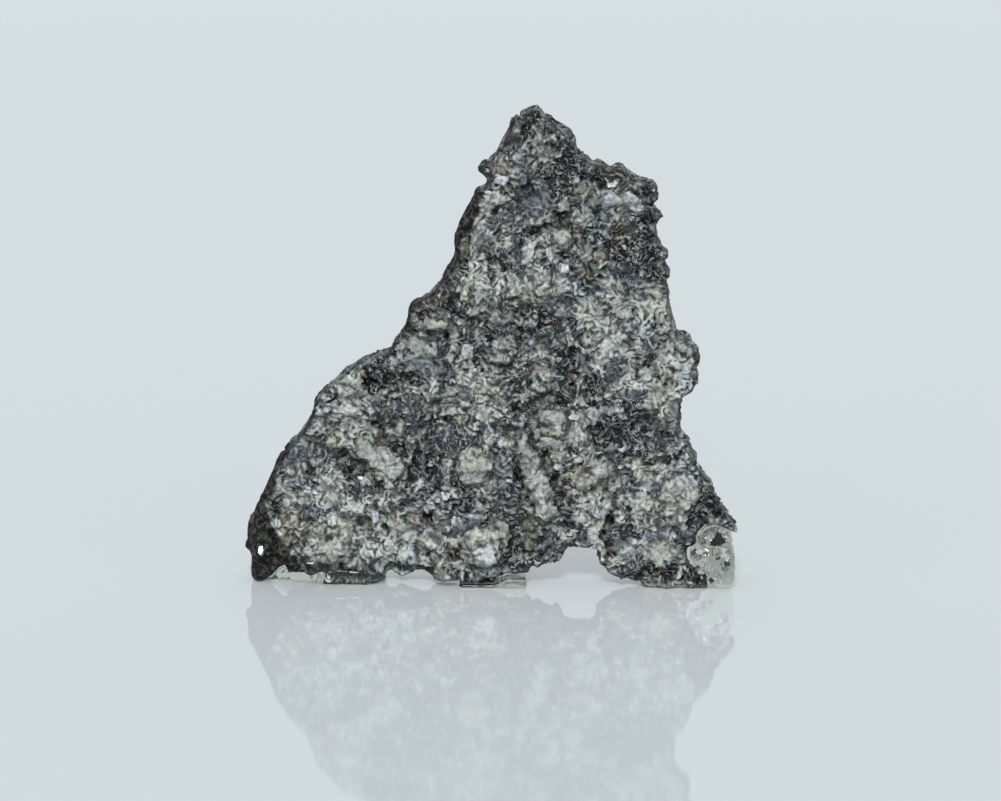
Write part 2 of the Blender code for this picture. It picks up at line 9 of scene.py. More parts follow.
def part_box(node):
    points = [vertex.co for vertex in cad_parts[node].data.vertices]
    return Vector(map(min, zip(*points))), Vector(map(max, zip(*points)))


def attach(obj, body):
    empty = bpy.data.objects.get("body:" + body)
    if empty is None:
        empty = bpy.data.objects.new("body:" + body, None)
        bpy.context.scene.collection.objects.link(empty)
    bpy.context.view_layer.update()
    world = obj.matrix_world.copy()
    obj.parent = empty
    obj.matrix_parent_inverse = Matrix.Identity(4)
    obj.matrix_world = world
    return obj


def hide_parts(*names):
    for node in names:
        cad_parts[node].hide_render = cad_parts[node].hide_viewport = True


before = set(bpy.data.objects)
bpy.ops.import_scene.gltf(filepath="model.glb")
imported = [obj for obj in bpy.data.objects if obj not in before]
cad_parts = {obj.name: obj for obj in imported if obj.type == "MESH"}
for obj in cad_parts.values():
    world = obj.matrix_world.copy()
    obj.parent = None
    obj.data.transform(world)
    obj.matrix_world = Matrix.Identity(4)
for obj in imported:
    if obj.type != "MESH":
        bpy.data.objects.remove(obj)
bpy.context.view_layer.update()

MM = 0.001

# The part was centred after it was shaped. Places below are in millimetres before that move.
low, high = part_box("gel_pad_middle")
MOVED = np.array((low.x / MM + 3.6, low.y / MM + 2.8, 0.0))


def linear(colour):
    """An sRGB hex colour as linear red, green, blue and alpha."""
    values = [int(colour[i:i + 2], 16) / 255 for i in (0, 2, 4)]
    bent = [v / 12.92 if v <= 0.04045 else ((v + 0.055) / 1.055) ** 2.4 for v in values]
    return (*bent, 1.0)


def add(tree, kind, settings=None, links=None, give=0):
    """Adds a node: settings go to its sockets or to the node itself, links feed its sockets."""
    node = tree.nodes.new(kind)
    for key, value in (settings or {}).items():
        if isinstance(key, int) or key in node.inputs:
            node.inputs[key].default_value = value
        else:
            setattr(node, key, value)
    for key, source in (links or {}).items():
        tree.links.new(source, node.inputs[key])
    return node.outputs[give]


def smooth_step(value):
    value = np.clip(value, 0.0, 1.0)
    return value * value * (3 - 2 * value)


SHUFFLE = np.random.RandomState(11).permutation(4096)
GRADIENTS = np.random.RandomState(12).normal(size=(4096, 3))
GRADIENTS /= np.linalg.norm(GRADIENTS, axis=1)[:, None]
DICE = np.random.RandomState(13).random_sample((4096, 7))


def slots(cell):
    """A random but fixed number from 0 to 4095 for each cell of space."""
    return SHUFFLE[(SHUFFLE[(SHUFFLE[cell[:, 0] % 4096] + cell[:, 1]) % 4096] + cell[:, 2]) % 4096]


def lumps(points, size, layer):
    """Gradient noise, about -1 to 1, with lumps of the given size in mm."""
    place = points / size + 31.7 * layer + 500
    cell = np.floor(place).astype(int)
    within = place - cell
    ease = within * within * (3 - 2 * within)
    total = np.zeros(len(points))
    for corner in np.ndindex(2, 2, 2):
        share = np.prod(np.where(np.array(corner) == 1, ease, 1 - ease), axis=1)
        total += share * np.einsum("ij,ij->i", GRADIENTS[slots(cell + corner)], within - corner)
    return total * 1.6


def warp(points, size, amount, layer):
    """The points moved about by noise, so that what is drawn on them gets an uneven outline."""
    return points + amount * np.column_stack([lumps(points, size, layer + axis) for axis in range(3)])


def flakes(points, size, layer):
    """Space broken into flakes: each point's flake as four random numbers, its place in it and the rim's distance."""
    place = points / size + 53.1 * layer + 500
    home = np.floor(place).astype(int)
    nearest = np.full(len(points), np.inf)
    second = np.full(len(points), np.inf)
    chosen = np.zeros(len(points), int)
    offset = np.zeros((len(points), 3))
    for step in np.ndindex(3, 3, 3):
        cell = home + np.array(step) - 1
        slot = slots(cell)
        away = place - cell - (DICE[slot, :3] * 0.9 + 0.05)
        distance = np.sqrt(np.einsum("ij,ij->i", away, away))
        closer = distance < nearest
        second = np.where(closer, nearest, np.minimum(second, distance))
        nearest = np.where(closer, distance, nearest)
        chosen = np.where(closer, slot, chosen)
        offset[closer] = away[closer]
    return DICE[chosen, 3:], offset * size, (second - nearest) / 2 * size


def wrinkles(points, gap, layer):
    """Wavy ridges a given gap in mm apart, about -1 to 1, which run the same way over a few gaps."""
    place = warp(points, 1.8 * gap, 0.8 * gap, layer) / (1.6 * gap) + 500
    turn = 6 * lumps(points, 6.5 * gap, layer + 3)
    tip = 0.7 * np.sin(3 * lumps(points, 6.5 * gap, layer + 4))
    home = np.floor(place).astype(int)
    total = np.zeros(len(points))
    for step in np.ndindex(3, 3, 3):
        cell = home + np.array(step) - 1
        dice = DICE[slots(cell)]
        away = place - cell - dice[:, :3]
        angle = turn + 2.0 * (dice[:, 3] - 0.5)
        along = away[:, 0] * np.cos(angle) + away[:, 2] * np.sin(angle) + away[:, 1] * tip
        total += np.exp(-pi * (away ** 2).sum(axis=1)) * np.sin(2 * pi * (1.6 * along + dice[:, 4]))
    return np.tanh(1.9 * total)


def distance_to(path, x, z):
    """The distance of each point (x, z) from an open path of points."""
    best = np.full(x.shape, np.inf)
    for (x0, z0), (x1, z1) in zip(path, path[1:]):
        dx = x1 - x0
        dz = z1 - z0
        along = np.clip(((x - x0) * dx + (z - z0) * dz) / (dx * dx + dz * dz), 0, 1)
        best = np.minimum(best, np.hypot(x - x0 - along * dx, z - z0 - along * dz))
    return best


def oval(x, z, shape):
    """How far out each point is in an oval (x, z, length, height, turn): 1 on its rim."""
    angle = radians(shape[4])
    dx = x - shape[0]
    dz = z - shape[1]
    along = (dx * cos(angle) + dz * sin(angle)) / (shape[2] / 2)
    across = (dz * cos(angle) - dx * sin(angle)) / (shape[3] / 2)
    return (np.abs(along) ** 2.6 + np.abs(across) ** 2.6) ** (1 / 2.6)


def bake(obj):
    """Replaces the object's mesh with what its modifiers make of it."""
    graph = bpy.context.evaluated_depsgraph_get()
    baked = bpy.data.meshes.new_from_object(obj.evaluated_get(graph))
    obj.modifiers.clear()
    obj.data = baked


def points_of(mesh, what="co"):
    values = np.empty(len(mesh.vertices) * 3)
    mesh.vertices.foreach_get(what, values)
    return values.reshape(-1, 3)


def to_mm(points):
    return points / MM - MOVED


def to_metres(points):
    return (points + MOVED) * MM


def new_object(name, mesh, finish):
    made = bpy.data.objects.new(name, mesh)
    bpy.context.scene.collection.objects.link(made)
    mesh.materials.clear()
    mesh.materials.append(finish)
    return made


# What the broken face is made of: colour, gloss (0 dull to 1 glassy), crumb (how much its
# surface is broken into curls), speckle (share of tiny glinting crystals), sunk in mm
MINERALS = {
    "light": ("A8ACA5", 0.1, 1.0, 0.0, -0.04),       # pyroxene, crumbly, greenish grey
    "taupe": ("86837C", 0.2, 0.8, 0.0, -0.02),       # the same, stained
    "cream": ("AFB2AB", 0.1, 0.8, 0.0, -0.05),       # clean pyroxene, the palest
    "green": ("9DA09A", 0.2, 0.62, 0.0, -0.05),       # smoother pyroxene clasts
    "lilac": ("6D7276", 0.4, 0.7, 0.1, 0.0),         # feldspar glass under a thin film of pyroxene
    "pale": ("AFB5B7", 0.5, 0.3, 0.0, -0.05),        # feldspar glass, bluish
    "white": ("EEF1F2", 0.8, 0.0, 0.0, 0.0),
    "blue": ("414549", 0.5, 0.8, 0.4, 0.03),         # fine speckled bluish grey
    "brown": ("39372F", 0.3, 0.8, 0.2, 0.05),
    "dark": ("1A1D1E", 0.5, 0.8, 0.7, 0.12),         # near-black glass
    "black": ("0B0D0D", 0.4, 0.9, 0.5, 0.18),        # the inside of a cavity, sunk a little and painted near-black as shade; also painted shadow lines beside grains
    "olive": ("6C6E5C", 0.6, 0.2, 0.0, 0.0),
    "amber": ("7A6548", 0.8, 0.0, 0.0, 0.0),
}
KINDS = list(MINERALS)

# Where each mineral shows in the broken face, drawn one by one: (x, z, length, height, turn in degrees) of an oval.
# Broad areas with ragged rims come first; later ones lie over earlier ones.
AREAS = [
    ("light", [
        (13.8, 29.6, 11.0, 7.6, -20), (18.8, 22.6, 6.4, 5.8, 0), (3.6, 33.2, 8.6, 3.6, 0), (-1.9, 33.8, 3.4, 4.6, 0),
        (-1.7, 36.6, 1.3, 3.2, -20), (6.3, 37.9, 5.8, 2.6, 0), (4.4, 47.5, 4.2, 1.9, -5), (0.9, 42.9, 2.6, 2.8, 0),
        (-1.2, 41.6, 0.9, 3.6, -15), (1.6, 45.1, 3.4, 1.8, 0), (9.1, 40.8, 2.0, 2.8, 0), (3.6, 36.8, 3.6, 3.0, 0),
        (-14.6, 16.8, 3.2, 3.6, 0), (-16.2, 22.4, 3.4, 2.2, 0), (-3.8, 25.6, 3.0, 2.4, 0), (-2.5, 23.2, 3.0, 2.6, 0),
        (-0.8, 20.0, 4.6, 2.2, 0), (-2.6, 17.4, 4.0, 1.0, 42), (-2.0, 13.0, 3.2, 4.4, 0), (-14.4, 8.8, 6.0, 2.2, 0),
        (-16.6, 11.3, 2.4, 2.4, 0), (-18.9, 6.3, 3.6, 1.6, 0), (-11.6, 4.8, 5.6, 2.6, 0), (7.2, 17.5, 5.0, 3.0, 0),
        (9.8, 13.9, 4.8, 1.6, 0), (9.6, 11.3, 4.2, 2.6, 0), (10.5, 8.8, 3.2, 3.4, 0), (12.2, 21.6, 2.6, 2.8, 0),
        (15.3, 22.6, 3.6, 2.8, 0), (14.8, 9.2, 3.2, 3.0, 0), (16.4, 12.5, 3.0, 2.0, 0), (-2.4, 28.4, 3.4, 2.0, 0),
    ]),
    ("green", [
        (-7.8, 26.3, 4.4, 2.6, 8), (19.6, 10.8, 4.6, 3.8, 0), (18.2, 4.0, 4.4, 2.8, 0), (-17.8, 3.9, 5.2, 3.6, 0),
        (-11.0, 12.9, 3.8, 3.0, -35), (-0.4, 4.6, 4.4, 5.2, 0), (13.5, 42.5, 4.8, 2.2, 0), (7.4, 41.6, 2.0, 1.8, 0),
        (17.6, 21.6, 3.6, 1.4, 0), (2.3, 39.4, 1.8, 1.6, 0), (6.2, 8.7, 2.6, 2.4, 0), (-9.8, 6.0, 2.6, 1.6, 0),
        (21.0, 14.2, 1.6, 2.2, 0), (20.4, 8.2, 2.0, 1.4, 0), (5.6, 48.5, 3.6, 2.2, 0),
    ]),
    ("lilac", [
        (17.6, 8.2, 3.4, 5.0, 0), (17.0, 11.2, 2.0, 1.6, 0), (19.4, 19.3, 1.6, 3.2, 0), (14.2, 4.6, 2.6, 2.6, 0),
        (-6.2, 29.0, 3.6, 2.0, 0), (-7.4, 24.2, 4.4, 1.7, 0), (-21.0, 11.3, 3.0, 2.0, -20), (5.6, 21.6, 2.2, 1.6, 0),
        (4.3, 42.5, 2.6, 2.2, 0), (12.6, 40.6, 3.4, 1.3, -5), (-14.4, 4.2, 1.8, 2.0, 0), (1.0, 12.8, 2.6, 3.6, 0),
        (-1.2, 37.6, 1.8, 2.0, -20), (9.4, 46.2, 1.4, 1.8, 0), (11.2, 24.2, 2.2, 1.6, 0), (-6.2, 7.2, 2.6, 1.8, 0),
    ]),
    ("blue", [
        (-9.8, 19.0, 5.6, 5.2, 10), (-4.8, 16.3, 4.6, 2.8, 15), (12.8, 34.0, 5.2, 3.2, 0), (-18.2, 14.3, 4.8, 2.4, 0),
        (-19.0, 7.9, 4.2, 1.4, 0), (1.6, 17.8, 3.6, 1.8, 0), (12.8, 24.7, 3.0, 1.0, 0), (16.8, 16.4, 4.4, 2.8, -10),
        (14.4, 28.0, 6.6, 1.0, -42), (1.4, 9.6, 3.6, 2.8, 0), (-7.4, 4.0, 3.6, 1.8, 0),
        (-14.6, 1.3, 3.8, 1.6, 0), (3.4, 23.8, 1.6, 2.4, 0), (21.2, 5.8, 2.4, 1.4, 0), (4.2, 44.0, 2.8, 2.0, 0),
        (0.3, 36.2, 1.4, 1.8, 0), (7.0, 31.6, 3.2, 1.4, 0), (13.8, 6.2, 2.4, 1.6, 0), (-14.4, 10.9, 2.6, 2.4, 0),
        (16.1, 41.9, 1.4, 1.4, 0), (0.9, 22.6, 1.9, 1.0, 0), (-4.8, 22.8, 1.8, 2.2, 0), (1.7, 21.1, 1.0, 1.8, 0),
    ]),
    ("brown", [
        (3.6, 51.7, 3.4, 1.8, 35), (12.6, 45.1, 4.6, 1.8, -20), (13.8, 39.2, 3.4, 1.7, 0), (-5.4, 32.2, 2.2, 2.8, -30),
        (-7.4, 31.4, 2.8, 1.6, 30), (-8.5, 2.0, 5.8, 1.2, -4), (-3.9, 3.9, 1.6, 2.0, 0), (9.8, 33.7, 2.2, 1.4, -10),
        (-18.9, 16.4, 2.6, 1.8, -40), (-13.2, 12.6, 3.4, 1.2, -50), (14.8, 7.2, 1.2, 2.0, 0), (17.4, 14.1, 3.2, 0.9, 0),
        (-16.6, 2.2, 2.4, 1.0, 0), (16.7, 18.7, 3.0, 1.6, -15), (7.9, 4.6, 2.2, 1.2, -15), (1.8, 31.0, 2.8, 1.2, 0),
        (0.4, 40.1, 1.8, 1.4, 0), (-17.2, 21.2, 1.8, 0.9, 10),
    ]),
    ("dark", [
        (6.9, 44.4, 2.8, 2.8, 0), (7.2, 48.4, 1.6, 3.0, 0), (15.7, 38.2, 2.0, 4.6, 0), (12.8, 36.8, 3.6, 2.6, 0),
        (7.9, 24.4, 2.6, 2.4, 0), (12.6, 17.1, 3.0, 3.6, 0), (-12.4, 23.0, 3.2, 3.2, 15), (-3.2, 30.5, 4.8, 1.5, -22),
        (-7.4, 11.8, 4.4, 4.0, 0), (-8.6, 22.7, 3.0, 1.6, -10), (3.4, 27.9, 5.4, 1.3, 0), (0.0, 27.8, 2.6, 1.6, 0),
        (23.4, 9.6, 5.0, 1.8, -52), (22.2, 7.9, 2.8, 1.3, 0), (21.4, 1.6, 4.0, 2.0, 0), (2.4, 3.8, 2.0, 3.6, -15),
        (10.9, 22.3, 1.7, 2.0, 0), (5.4, 28.8, 3.6, 1.6, 0), (14.7, 20.1, 2.8, 1.3, -15), (-9.5, 9.9, 3.4, 2.4, 0),
        (-7.6, 13.9, 2.2, 2.2, 0), (7.1, 9.6, 1.3, 5.0, -15), (12.4, 7.2, 1.2, 3.0, 0), (16.9, 1.9, 3.2, 1.2, 0),
        (0.9, 7.9, 4.6, 0.9, 15), (2.7, 12.6, 1.1, 3.8, -12), (16.7, 34.4, 2.2, 1.4, 0), (8.4, 46.9, 2.4, 2.6, -40),
    ]),
    ("dark", [
        (12.9, 44.2, 2.8, 1.2, -10), (16.8, 36.8, 1.9, 3.0, 0), (-3.1, 34.9, 1.6, 1.8, 0), (-7.6, 29.8, 2.4, 1.2, 30),
        (14.6, 20.1, 3.2, 1.3, 0), (15.8, 16.5, 3.4, 2.2, 0), (-3.0, 9.1, 3.2, 1.2, 30), (-22.6, 12.4, 0.8, 2.4, -15),
        (3.7, 3.4, 3.0, 1.4, 0), (19.3, 1.2, 3.0, 1.5, 0), (22.0, 7.2, 2.6, 1.3, 0), (7.6, 44.8, 3.4, 2.6, 0),
        (5.4, 46.2, 3.0, 1.6, 0), (16.6, 39.5, 1.2, 5.0, 0), (15.2, 36.4, 2.4, 2.0, 0), (2.8, 22.6, 2.2, 2.0, 0),
        (11.6, 20.3, 3.6, 1.3, 0), (-5.6, 14.2, 1.6, 1.8, 0), (-10.0, 14.9, 1.8, 1.5, 0), (3.0, 7.7, 2.2, 1.6, 0),
        (-10.4, 25.4, 3.4, 1.0, 15), (14.2, 15.5, 2.8, 1.3, 0), (-2.6, 29.5, 4.2, 1.1, -20), (-14.9, 12.5, 2.4, 1.3, -30),
    ]),
    ("blue", [
        (1.0, 39.6, 2.8, 1.2, 0), (12.2, 24.0, 3.2, 1.4, 0), (7.8, 13.6, 1.8, 1.8, 0), (-13.7, 11.2, 2.4, 2.8, 0),
        (5.0, 50.0, 3.4, 1.6, 0), (-0.8, 37.2, 1.6, 1.4, 0), (16.2, 42.8, 1.4, 1.6, 0), (14.4, 11.2, 3.4, 1.6, 0),
        (2.4, 41.6, 1.3, 4.0, 0), (2.4, 36.8, 1.3, 3.4, 0), (9.2, 37.5, 1.4, 1.6, 0), (15.6, 32.8, 1.6, 3.0, 20),
        (0.8, 31.0, 1.4, 1.6, 0), (-5.6, 26.0, 1.5, 2.2, 0), (14.9, 21.4, 2.4, 1.4, 0), (-1.6, 15.6, 1.8, 1.8, 0),
        (16.7, 16.2, 2.6, 1.2, 0), (13.8, 11.2, 2.8, 1.5, 0), (6.2, 43.4, 1.6, 1.4, 0), (5.2, 50.6, 4.0, 1.3, 20),
        (13.6, 44.1, 3.6, 1.2, -10), (7.0, 20.2, 3.4, 0.8, 0), (-6.6, 22.3, 1.8, 1.8, 0), (-12.2, 10.7, 1.6, 1.2, 0),
    ]),
    ("light", [
        (-2.6, 31.8, 3.2, 1.6, -15), (3.1, 31.7, 2.2, 1.3, 0), (-6.5, 28.5, 2.4, 1.2, 0), (12.0, 31.2, 2.4, 1.6, 0),
        (18.0, 26.8, 2.6, 3.0, 0), (20.8, 23.6, 1.3, 1.6, 0), (0.5, 25.0, 1.5, 1.6, 0), (-0.2, 20.7, 2.4, 1.1, 0),
        (2.6, 15.2, 2.2, 3.4, 0), (5.2, 18.2, 2.0, 1.2, 0), (12.4, 13.5, 1.5, 1.6, 0), (21.2, 13.4, 1.8, 3.0, 20),
        (-19.3, 17.6, 2.0, 1.3, 30), (-13.2, 18.8, 2.0, 1.2, 0), (-16.2, 16.4, 3.2, 2.2, 0), (-18.0, 10.3, 3.4, 1.4, 0),
        (-15.2, 8.3, 4.4, 2.2, -15), (-12.4, 7.3, 2.6, 1.6, 0), (-10.0, 11.2, 1.2, 2.4, 0), (-19.8, 5.6, 3.4, 2.6, 0),
        (-15.0, 4.4, 4.2, 1.8, 0), (-2.4, 4.5, 1.6, 1.9, 0), (17.6, 9.4, 3.4, 2.0, 0), (-15.8, 2.7, 5.0, 1.2, 0),
        (12.4, 21.4, 1.6, 1.4, 0), (6.5, 8.6, 2.2, 2.0, 0), (11.6, 9.2, 1.8, 2.2, 0), (13.4, 3.2, 1.8, 1.4, 0),
        (9.2, 26.2, 1.8, 1.2, -50), (2.2, 18.4, 2.0, 1.6, 0),
    ]),
]

# Single grains and pits, with clear rims. They stand out by RISE
GRAINS = {
    "black": [
        (8.3, 45.4, 2.2, 2.8, -25), (5.0, 51.0, 3.6, 0.6, 3), (10.8, 44.8, 1.1, 2.0, 0), (15.8, 43.6, 1.1, 1.2, 0),
        (15.8, 40.4, 2.2, 0.9, 5), (6.8, 40.5, 1.8, 1.2, 0), (3.9, 38.9, 2.4, 0.55, 8),
        (1.6, 35.1, 0.9, 0.6, 60), (-0.1, 33.8, 0.6, 0.5, 0), (7.6, 36.4, 1.9, 0.8, 0), (6.6, 35.6, 0.5, 1.3, 10),
        (10.9, 36.4, 0.9, 0.8, -30), (12.8, 36.5, 2.4, 1.6, 0), (17.2, 35.4, 0.8, 1.8, 0), (3.4, 29.9, 1.6, 0.8, 35),
        (-3.6, 29.8, 3.4, 0.7, -22), (-5.9, 27.7, 2.2, 1.0, -18), (5.0, 29.0, 1.0, 1.3, -20), (6.8, 28.6, 1.2, 0.6, -20),
        (2.4, 26.6, 0.6, 1.9, 0), (-0.1, 27.7, 0.9, 0.8, 0), (7.6, 26.0, 2.6, 1.2, -15), (1.8, 24.7, 0.9, 0.7, 0),
        (-12.8, 23.3, 1.1, 1.0, 0), (-12.7, 22.1, 1.2, 0.7, -10), (-11.4, 22.9, 1.5, 1.4, 0), (-9.9, 22.6, 0.8, 1.0, 0),
        (-8.6, 22.5, 1.2, 0.8, -20), (-6.0, 20.3, 1.4, 0.6, -10), (8.0, 21.7, 0.8, 1.0, 0), (7.5, 20.1, 0.8, 0.6, 0),
        (9.6, 22.4, 0.5, 2.4, 5), (17.4, 23.0, 0.8, 0.7, 20), (14.6, 20.2, 2.0, 0.8, -12), (13.8, 17.5, 0.5, 1.7, 0),
        (14.9, 17.6, 0.8, 2.2, 0), (10.7, 17.4, 0.8, 0.9, 0), (13.6, 14.6, 1.6, 0.7, 0), (16.8, 14.1, 0.9, 0.5, -20),
        (-6.9, 16.9, 0.6, 2.4, -20), (-7.7, 13.8, 1.1, 1.6, 0), (-10.0, 15.2, 2.4, 0.6, -32), (-15.3, 13.9, 1.9, 0.6, -52),
        (-12.1, 11.5, 0.8, 1.0, -40), (-9.6, 10.4, 0.7, 0.8, 0), (-13.8, 7.4, 1.3, 0.6, 12), (-14.3, 6.8, 0.5, 0.4, 0),
        (-11.5, 6.6, 1.1, 0.4, 0), (-6.8, 7.5, 1.4, 0.7, -35), (-3.6, 9.3, 1.5, 0.6, -10), (-23.4, 8.6, 0.9, 0.5, 0),
        (2.8, 12.9, 0.7, 2.8, -12), (6.4, 11.7, 0.8, 3.2, -12), (8.2, 7.0, 1.0, 1.0, 0), (5.9, 14.1, 1.7, 0.5, -35),
        (12.4, 6.6, 0.8, 1.6, 0), (2.2, 4.2, 1.2, 2.4, -10), (23.6, 9.4, 3.6, 1.0, -52), (22.2, 8.0, 1.9, 0.8, 0),
        (20.0, 6.5, 1.5, 0.5, 0), (21.6, 1.4, 3.0, 1.2, 0), (17.0, 1.8, 2.0, 0.7, 0), (5.4, 5.8, 0.5, 1.2, 0),
        (18.2, 17.2, 0.6, 0.4, 0), (-19.3, 11.3, 0.4, 0.6, 0), (8.9, 12.9, 3.2, 0.4, 3), (-5.0, 14.4, 2.0, 0.4, 5),
    ],
    "dark": [
        (4.7, 45.1, 2.2, 1.6, -20), (6.0, 43.6, 1.2, 2.0, 0), (12.4, 43.9, 2.6, 1.1, 0), (15.6, 43.2, 2.4, 0.8, 0),
        (15.4, 36.2, 3.0, 2.2, 20), (16.9, 35.6, 1.2, 1.6, 0), (8.3, 41.6, 1.4, 0.9, 0), (1.6, 43.2, 1.6, 0.8, 0),
        (2.4, 2.8, 3.8, 1.2, 0), (17.0, 29.2, 1.0, 1.4, 0), (13.8, 19.6, 3.8, 1.1, 0), (15.7, 15.5, 1.8, 1.5, 0),
        (-1.7, 25.2, 1.0, 2.6, 0), (-1.4, 15.0, 1.4, 0.9, 0), (-13.5, 11.9, 1.2, 1.8, 0), (0.0, 16.1, 1.0, 1.2, 0),
        (14.0, 12.8, 1.4, 1.0, 0), (-10.7, 24.6, 2.4, 1.5, -20), (2.6, 7.0, 2.8, 1.0, -10), (-20.9, 1.6, 2.6, 1.2, 0),
        (3.6, 43.0, 0.6, 1.2, 0), (-2.2, 9.6, 2.2, 0.8, 0), (22.4, 10.1, 1.2, 1.4, 0), (-0.8, 0.7, 2.4, 1.2, 0),
        (-4.4, 10.9, 1.0, 1.0, 0), (-19.3, 19.9, 1.2, 1.0, 30), (16.6, 24.9, 1.8, 1.1, 0), (-2.8, 37.9, 1.2, 1.3, 0),
        (-10.1, 14.0, 1.0, 1.2, 0), (8.1, 44.8, 1.6, 1.2, 0), (0.9, 3.9, 1.0, 1.4, 0), (-10.8, 1.5, 2.4, 0.9, 0),
    ],
    "blue": [
        (8.1, 34.4, 1.0, 1.4, 0), (10.6, 39.1, 1.6, 1.0, 0), (10.1, 32.5, 0.9, 1.4, 0), (1.8, 27.8, 0.8, 2.8, 0),
        (-5.7, 25.0, 1.2, 1.8, 0), (12.4, 23.1, 1.8, 0.9, 0), (14.0, 27.0, 1.4, 1.0, 0), (5.0, 20.1, 2.4, 0.7, 0),
        (17.6, 18.4, 1.4, 1.2, 0), (-6.7, 16.9, 0.9, 1.8, 0), (9.6, 19.5, 1.8, 0.9, 0), (-1.2, 17.4, 1.0, 1.4, 0),
        (2.2, 48.2, 1.4, 1.2, 0), (5.6, 28.2, 1.6, 0.7, 0), (7.6, 4.1, 3.6, 1.1, 0), (11.9, 15.2, 1.2, 1.0, 0),
        (22.3, 6.8, 1.0, 1.4, 0), (21.6, 4.4, 0.9, 2.2, 0), (-6.2, 21.8, 1.2, 1.4, 0), (-2.9, 18.2, 1.2, 1.0, 0),
        (-2.1, 28.3, 1.6, 0.9, 0), (6.0, 46.7, 1.2, 0.9, 0), (17.3, 27.5, 0.9, 1.4, 0), (2.9, 34.4, 0.9, 1.3, 0),
        (-14.4, 4.8, 1.4, 0.7, 0), (-9.2, 15.9, 1.2, 1.2, 0), (-4.2, 5.9, 1.0, 1.0, 0), (14.3, 42.7, 1.0, 0.6, 0),
    ],
    "cream": [
        (0.3, 20.8, 1.8, 1.2, 0), (-1.6, 31.8, 2.2, 1.2, 0), (3.1, 31.3, 2.2, 1.6, 0), (11.9, 33.8, 1.6, 1.4, -30),
        (17.5, 32.6, 1.8, 2.4, 30), (11.6, 31.0, 1.8, 1.4, 0), (14.4, 28.6, 1.6, 0.9, -30), (5.1, 23.4, 1.6, 1.2, -30),
        (12.1, 21.4, 1.4, 1.2, 0), (6.8, 21.0, 1.4, 0.8, 0), (11.1, 11.2, 1.6, 1.4, 0), (-7.3, 3.0, 1.6, 1.4, 0), (2.3, 16.2, 1.8, 2.8, 0), (12.2, 12.3, 2.0, 2.0, 0),
        (21.7, 13.3, 1.5, 2.6, 25), (18.0, 7.8, 1.8, 1.4, 0), (-17.0, 10.5, 1.6, 2.4, -20), (-15.8, 7.4, 4.0, 2.2, -8),
        (-12.0, 6.3, 1.8, 1.0, 0), (-18.9, 5.6, 2.6, 1.8, 0), (-15.6, 2.9, 5.2, 1.2, 0), (-20.8, 3.0, 1.6, 1.4, 0), (-11.0, 8.2, 1.6, 1.0, 0),
        (-10.3, 20.8, 1.4, 1.2, 0), (-2.1, 30.4, 1.6, 1.2, 0), (4.6, 33.4, 1.0, 1.2, 0), (-5.8, 2.7, 1.8, 1.4, 0),
        (11.3, 35.7, 1.2, 1.6, 0), (10.4, 25.7, 0.9, 1.2, 0), (16.9, 7.5, 1.6, 1.4, 0), (20.2, 1.9, 1.4, 1.0, 0),
        (-18.8, 13.8, 1.6, 1.2, 0), (-10.3, 10.1, 1.3, 1.6, 0), (10.4, 42.0, 1.6, 1.0, 0), (9.2, 39.6, 1.8, 1.3, 0),
        (-8.6, 30.6, 1.2, 1.0, 0), (-21.8, 9.6, 1.4, 2.0, 0), (19.1, 27.5, 1.2, 1.6, 0), (21.5, 23.6, 1.0, 1.6, 0),
        (-1.7, 2.5, 1.8, 1.4, 0), (5.2, 47.2, 2.8, 1.4, -10), (6.3, 48.6, 1.4, 1.2, 0), (0.3, 35.0, 1.4, 1.2, 0),
    ],
    "light": [
        (-4.7, 19.4, 3.7, 1.1, 8), (-13.4, 20.2, 1.5, 1.5, 0), (-8.6, 21.5, 2.0, 0.9, 0), (-6.3, 22.0, 0.7, 1.8, 0),
        (0.7, 21.6, 1.2, 1.5, 0), (3.2, 29.1, 2.3, 1.0, -5), (-9.4, 4.1, 1.8, 2.2, 0), (13.6, 8.4, 1.4, 2.5, -10),
        (-12.3, 5.4, 1.4, 0.7, 0), (2.8, 16.3, 1.0, 1.8, 15), (7.0, 21.6, 0.7, 1.3, 0), (-16.7, 13.7, 1.9, 0.6, 3),
        (-18.3, 13.5, 1.9, 0.6, 5), (1.8, 31.4, 1.6, 0.7, 0), (-21.9, 12.8, 0.5, 1.9, 8), (8.2, 6.2, 2.0, 1.6, 0),
        (10.1, 27.4, 2.2, 1.2, 0), (13.3, 43.9, 0.7, 1.1, 0), (-10.5, 24.6, 0.7, 2.2, -15), (-2.6, 2.0, 0.8, 1.8, 40),
    ],
    "taupe": [
        (-21.7, 7.0, 2.3, 2.1, -15),
        (0.4, 45.2, 2.0, 1.2, -10), (8.6, 43.2, 0.8, 1.8, 0), (-17.2, 16.8, 1.6, 1.6, 0),
        (4.6, 23.8, 0.9, 1.7, 0), (-8.7, 7.4, 1.8, 1.4, 0), (-23.5, 9.7, 0.8, 1.1, 0),
        (-16.9, 5.4, 1.2, 0.9, 0), (8.5, 21.0, 0.7, 0.9, 0), (-20.3, 3.3, 0.9, 1.0, 0),
    ],
    "green": [
        (1.1, 26.2, 2.6, 3.4, 0), (6.0, 18.0, 4.0, 3.0, 0), (7.2, 38.3, 2.2, 2.2, 0), (-4.8, 21.3, 1.6, 1.5, 0),
        (-10.6, 17.3, 2.8, 1.3, 25), (-7.0, 19.2, 0.9, 2.4, 5), (4.5, 12.0, 10.0, 2.4, -69), (0.6, 6.7, 2.4, 1.3, -15),
        (-11.7, 14.1, 6.2, 2.2, -33), (19.8, 10.6, 4.0, 3.8, 0), (-1.2, 4.6, 4.2, 4.2, 0), (-17.8, 3.9, 5.0, 3.2, 0),
        (-6.4, 28.2, 3.8, 1.8, 10), (18.2, 4.0, 4.0, 2.6, 0), (10.6, 12.6, 4.6, 2.6, 15), (-2.0, 13.2, 3.6, 4.2, 0),
    ],
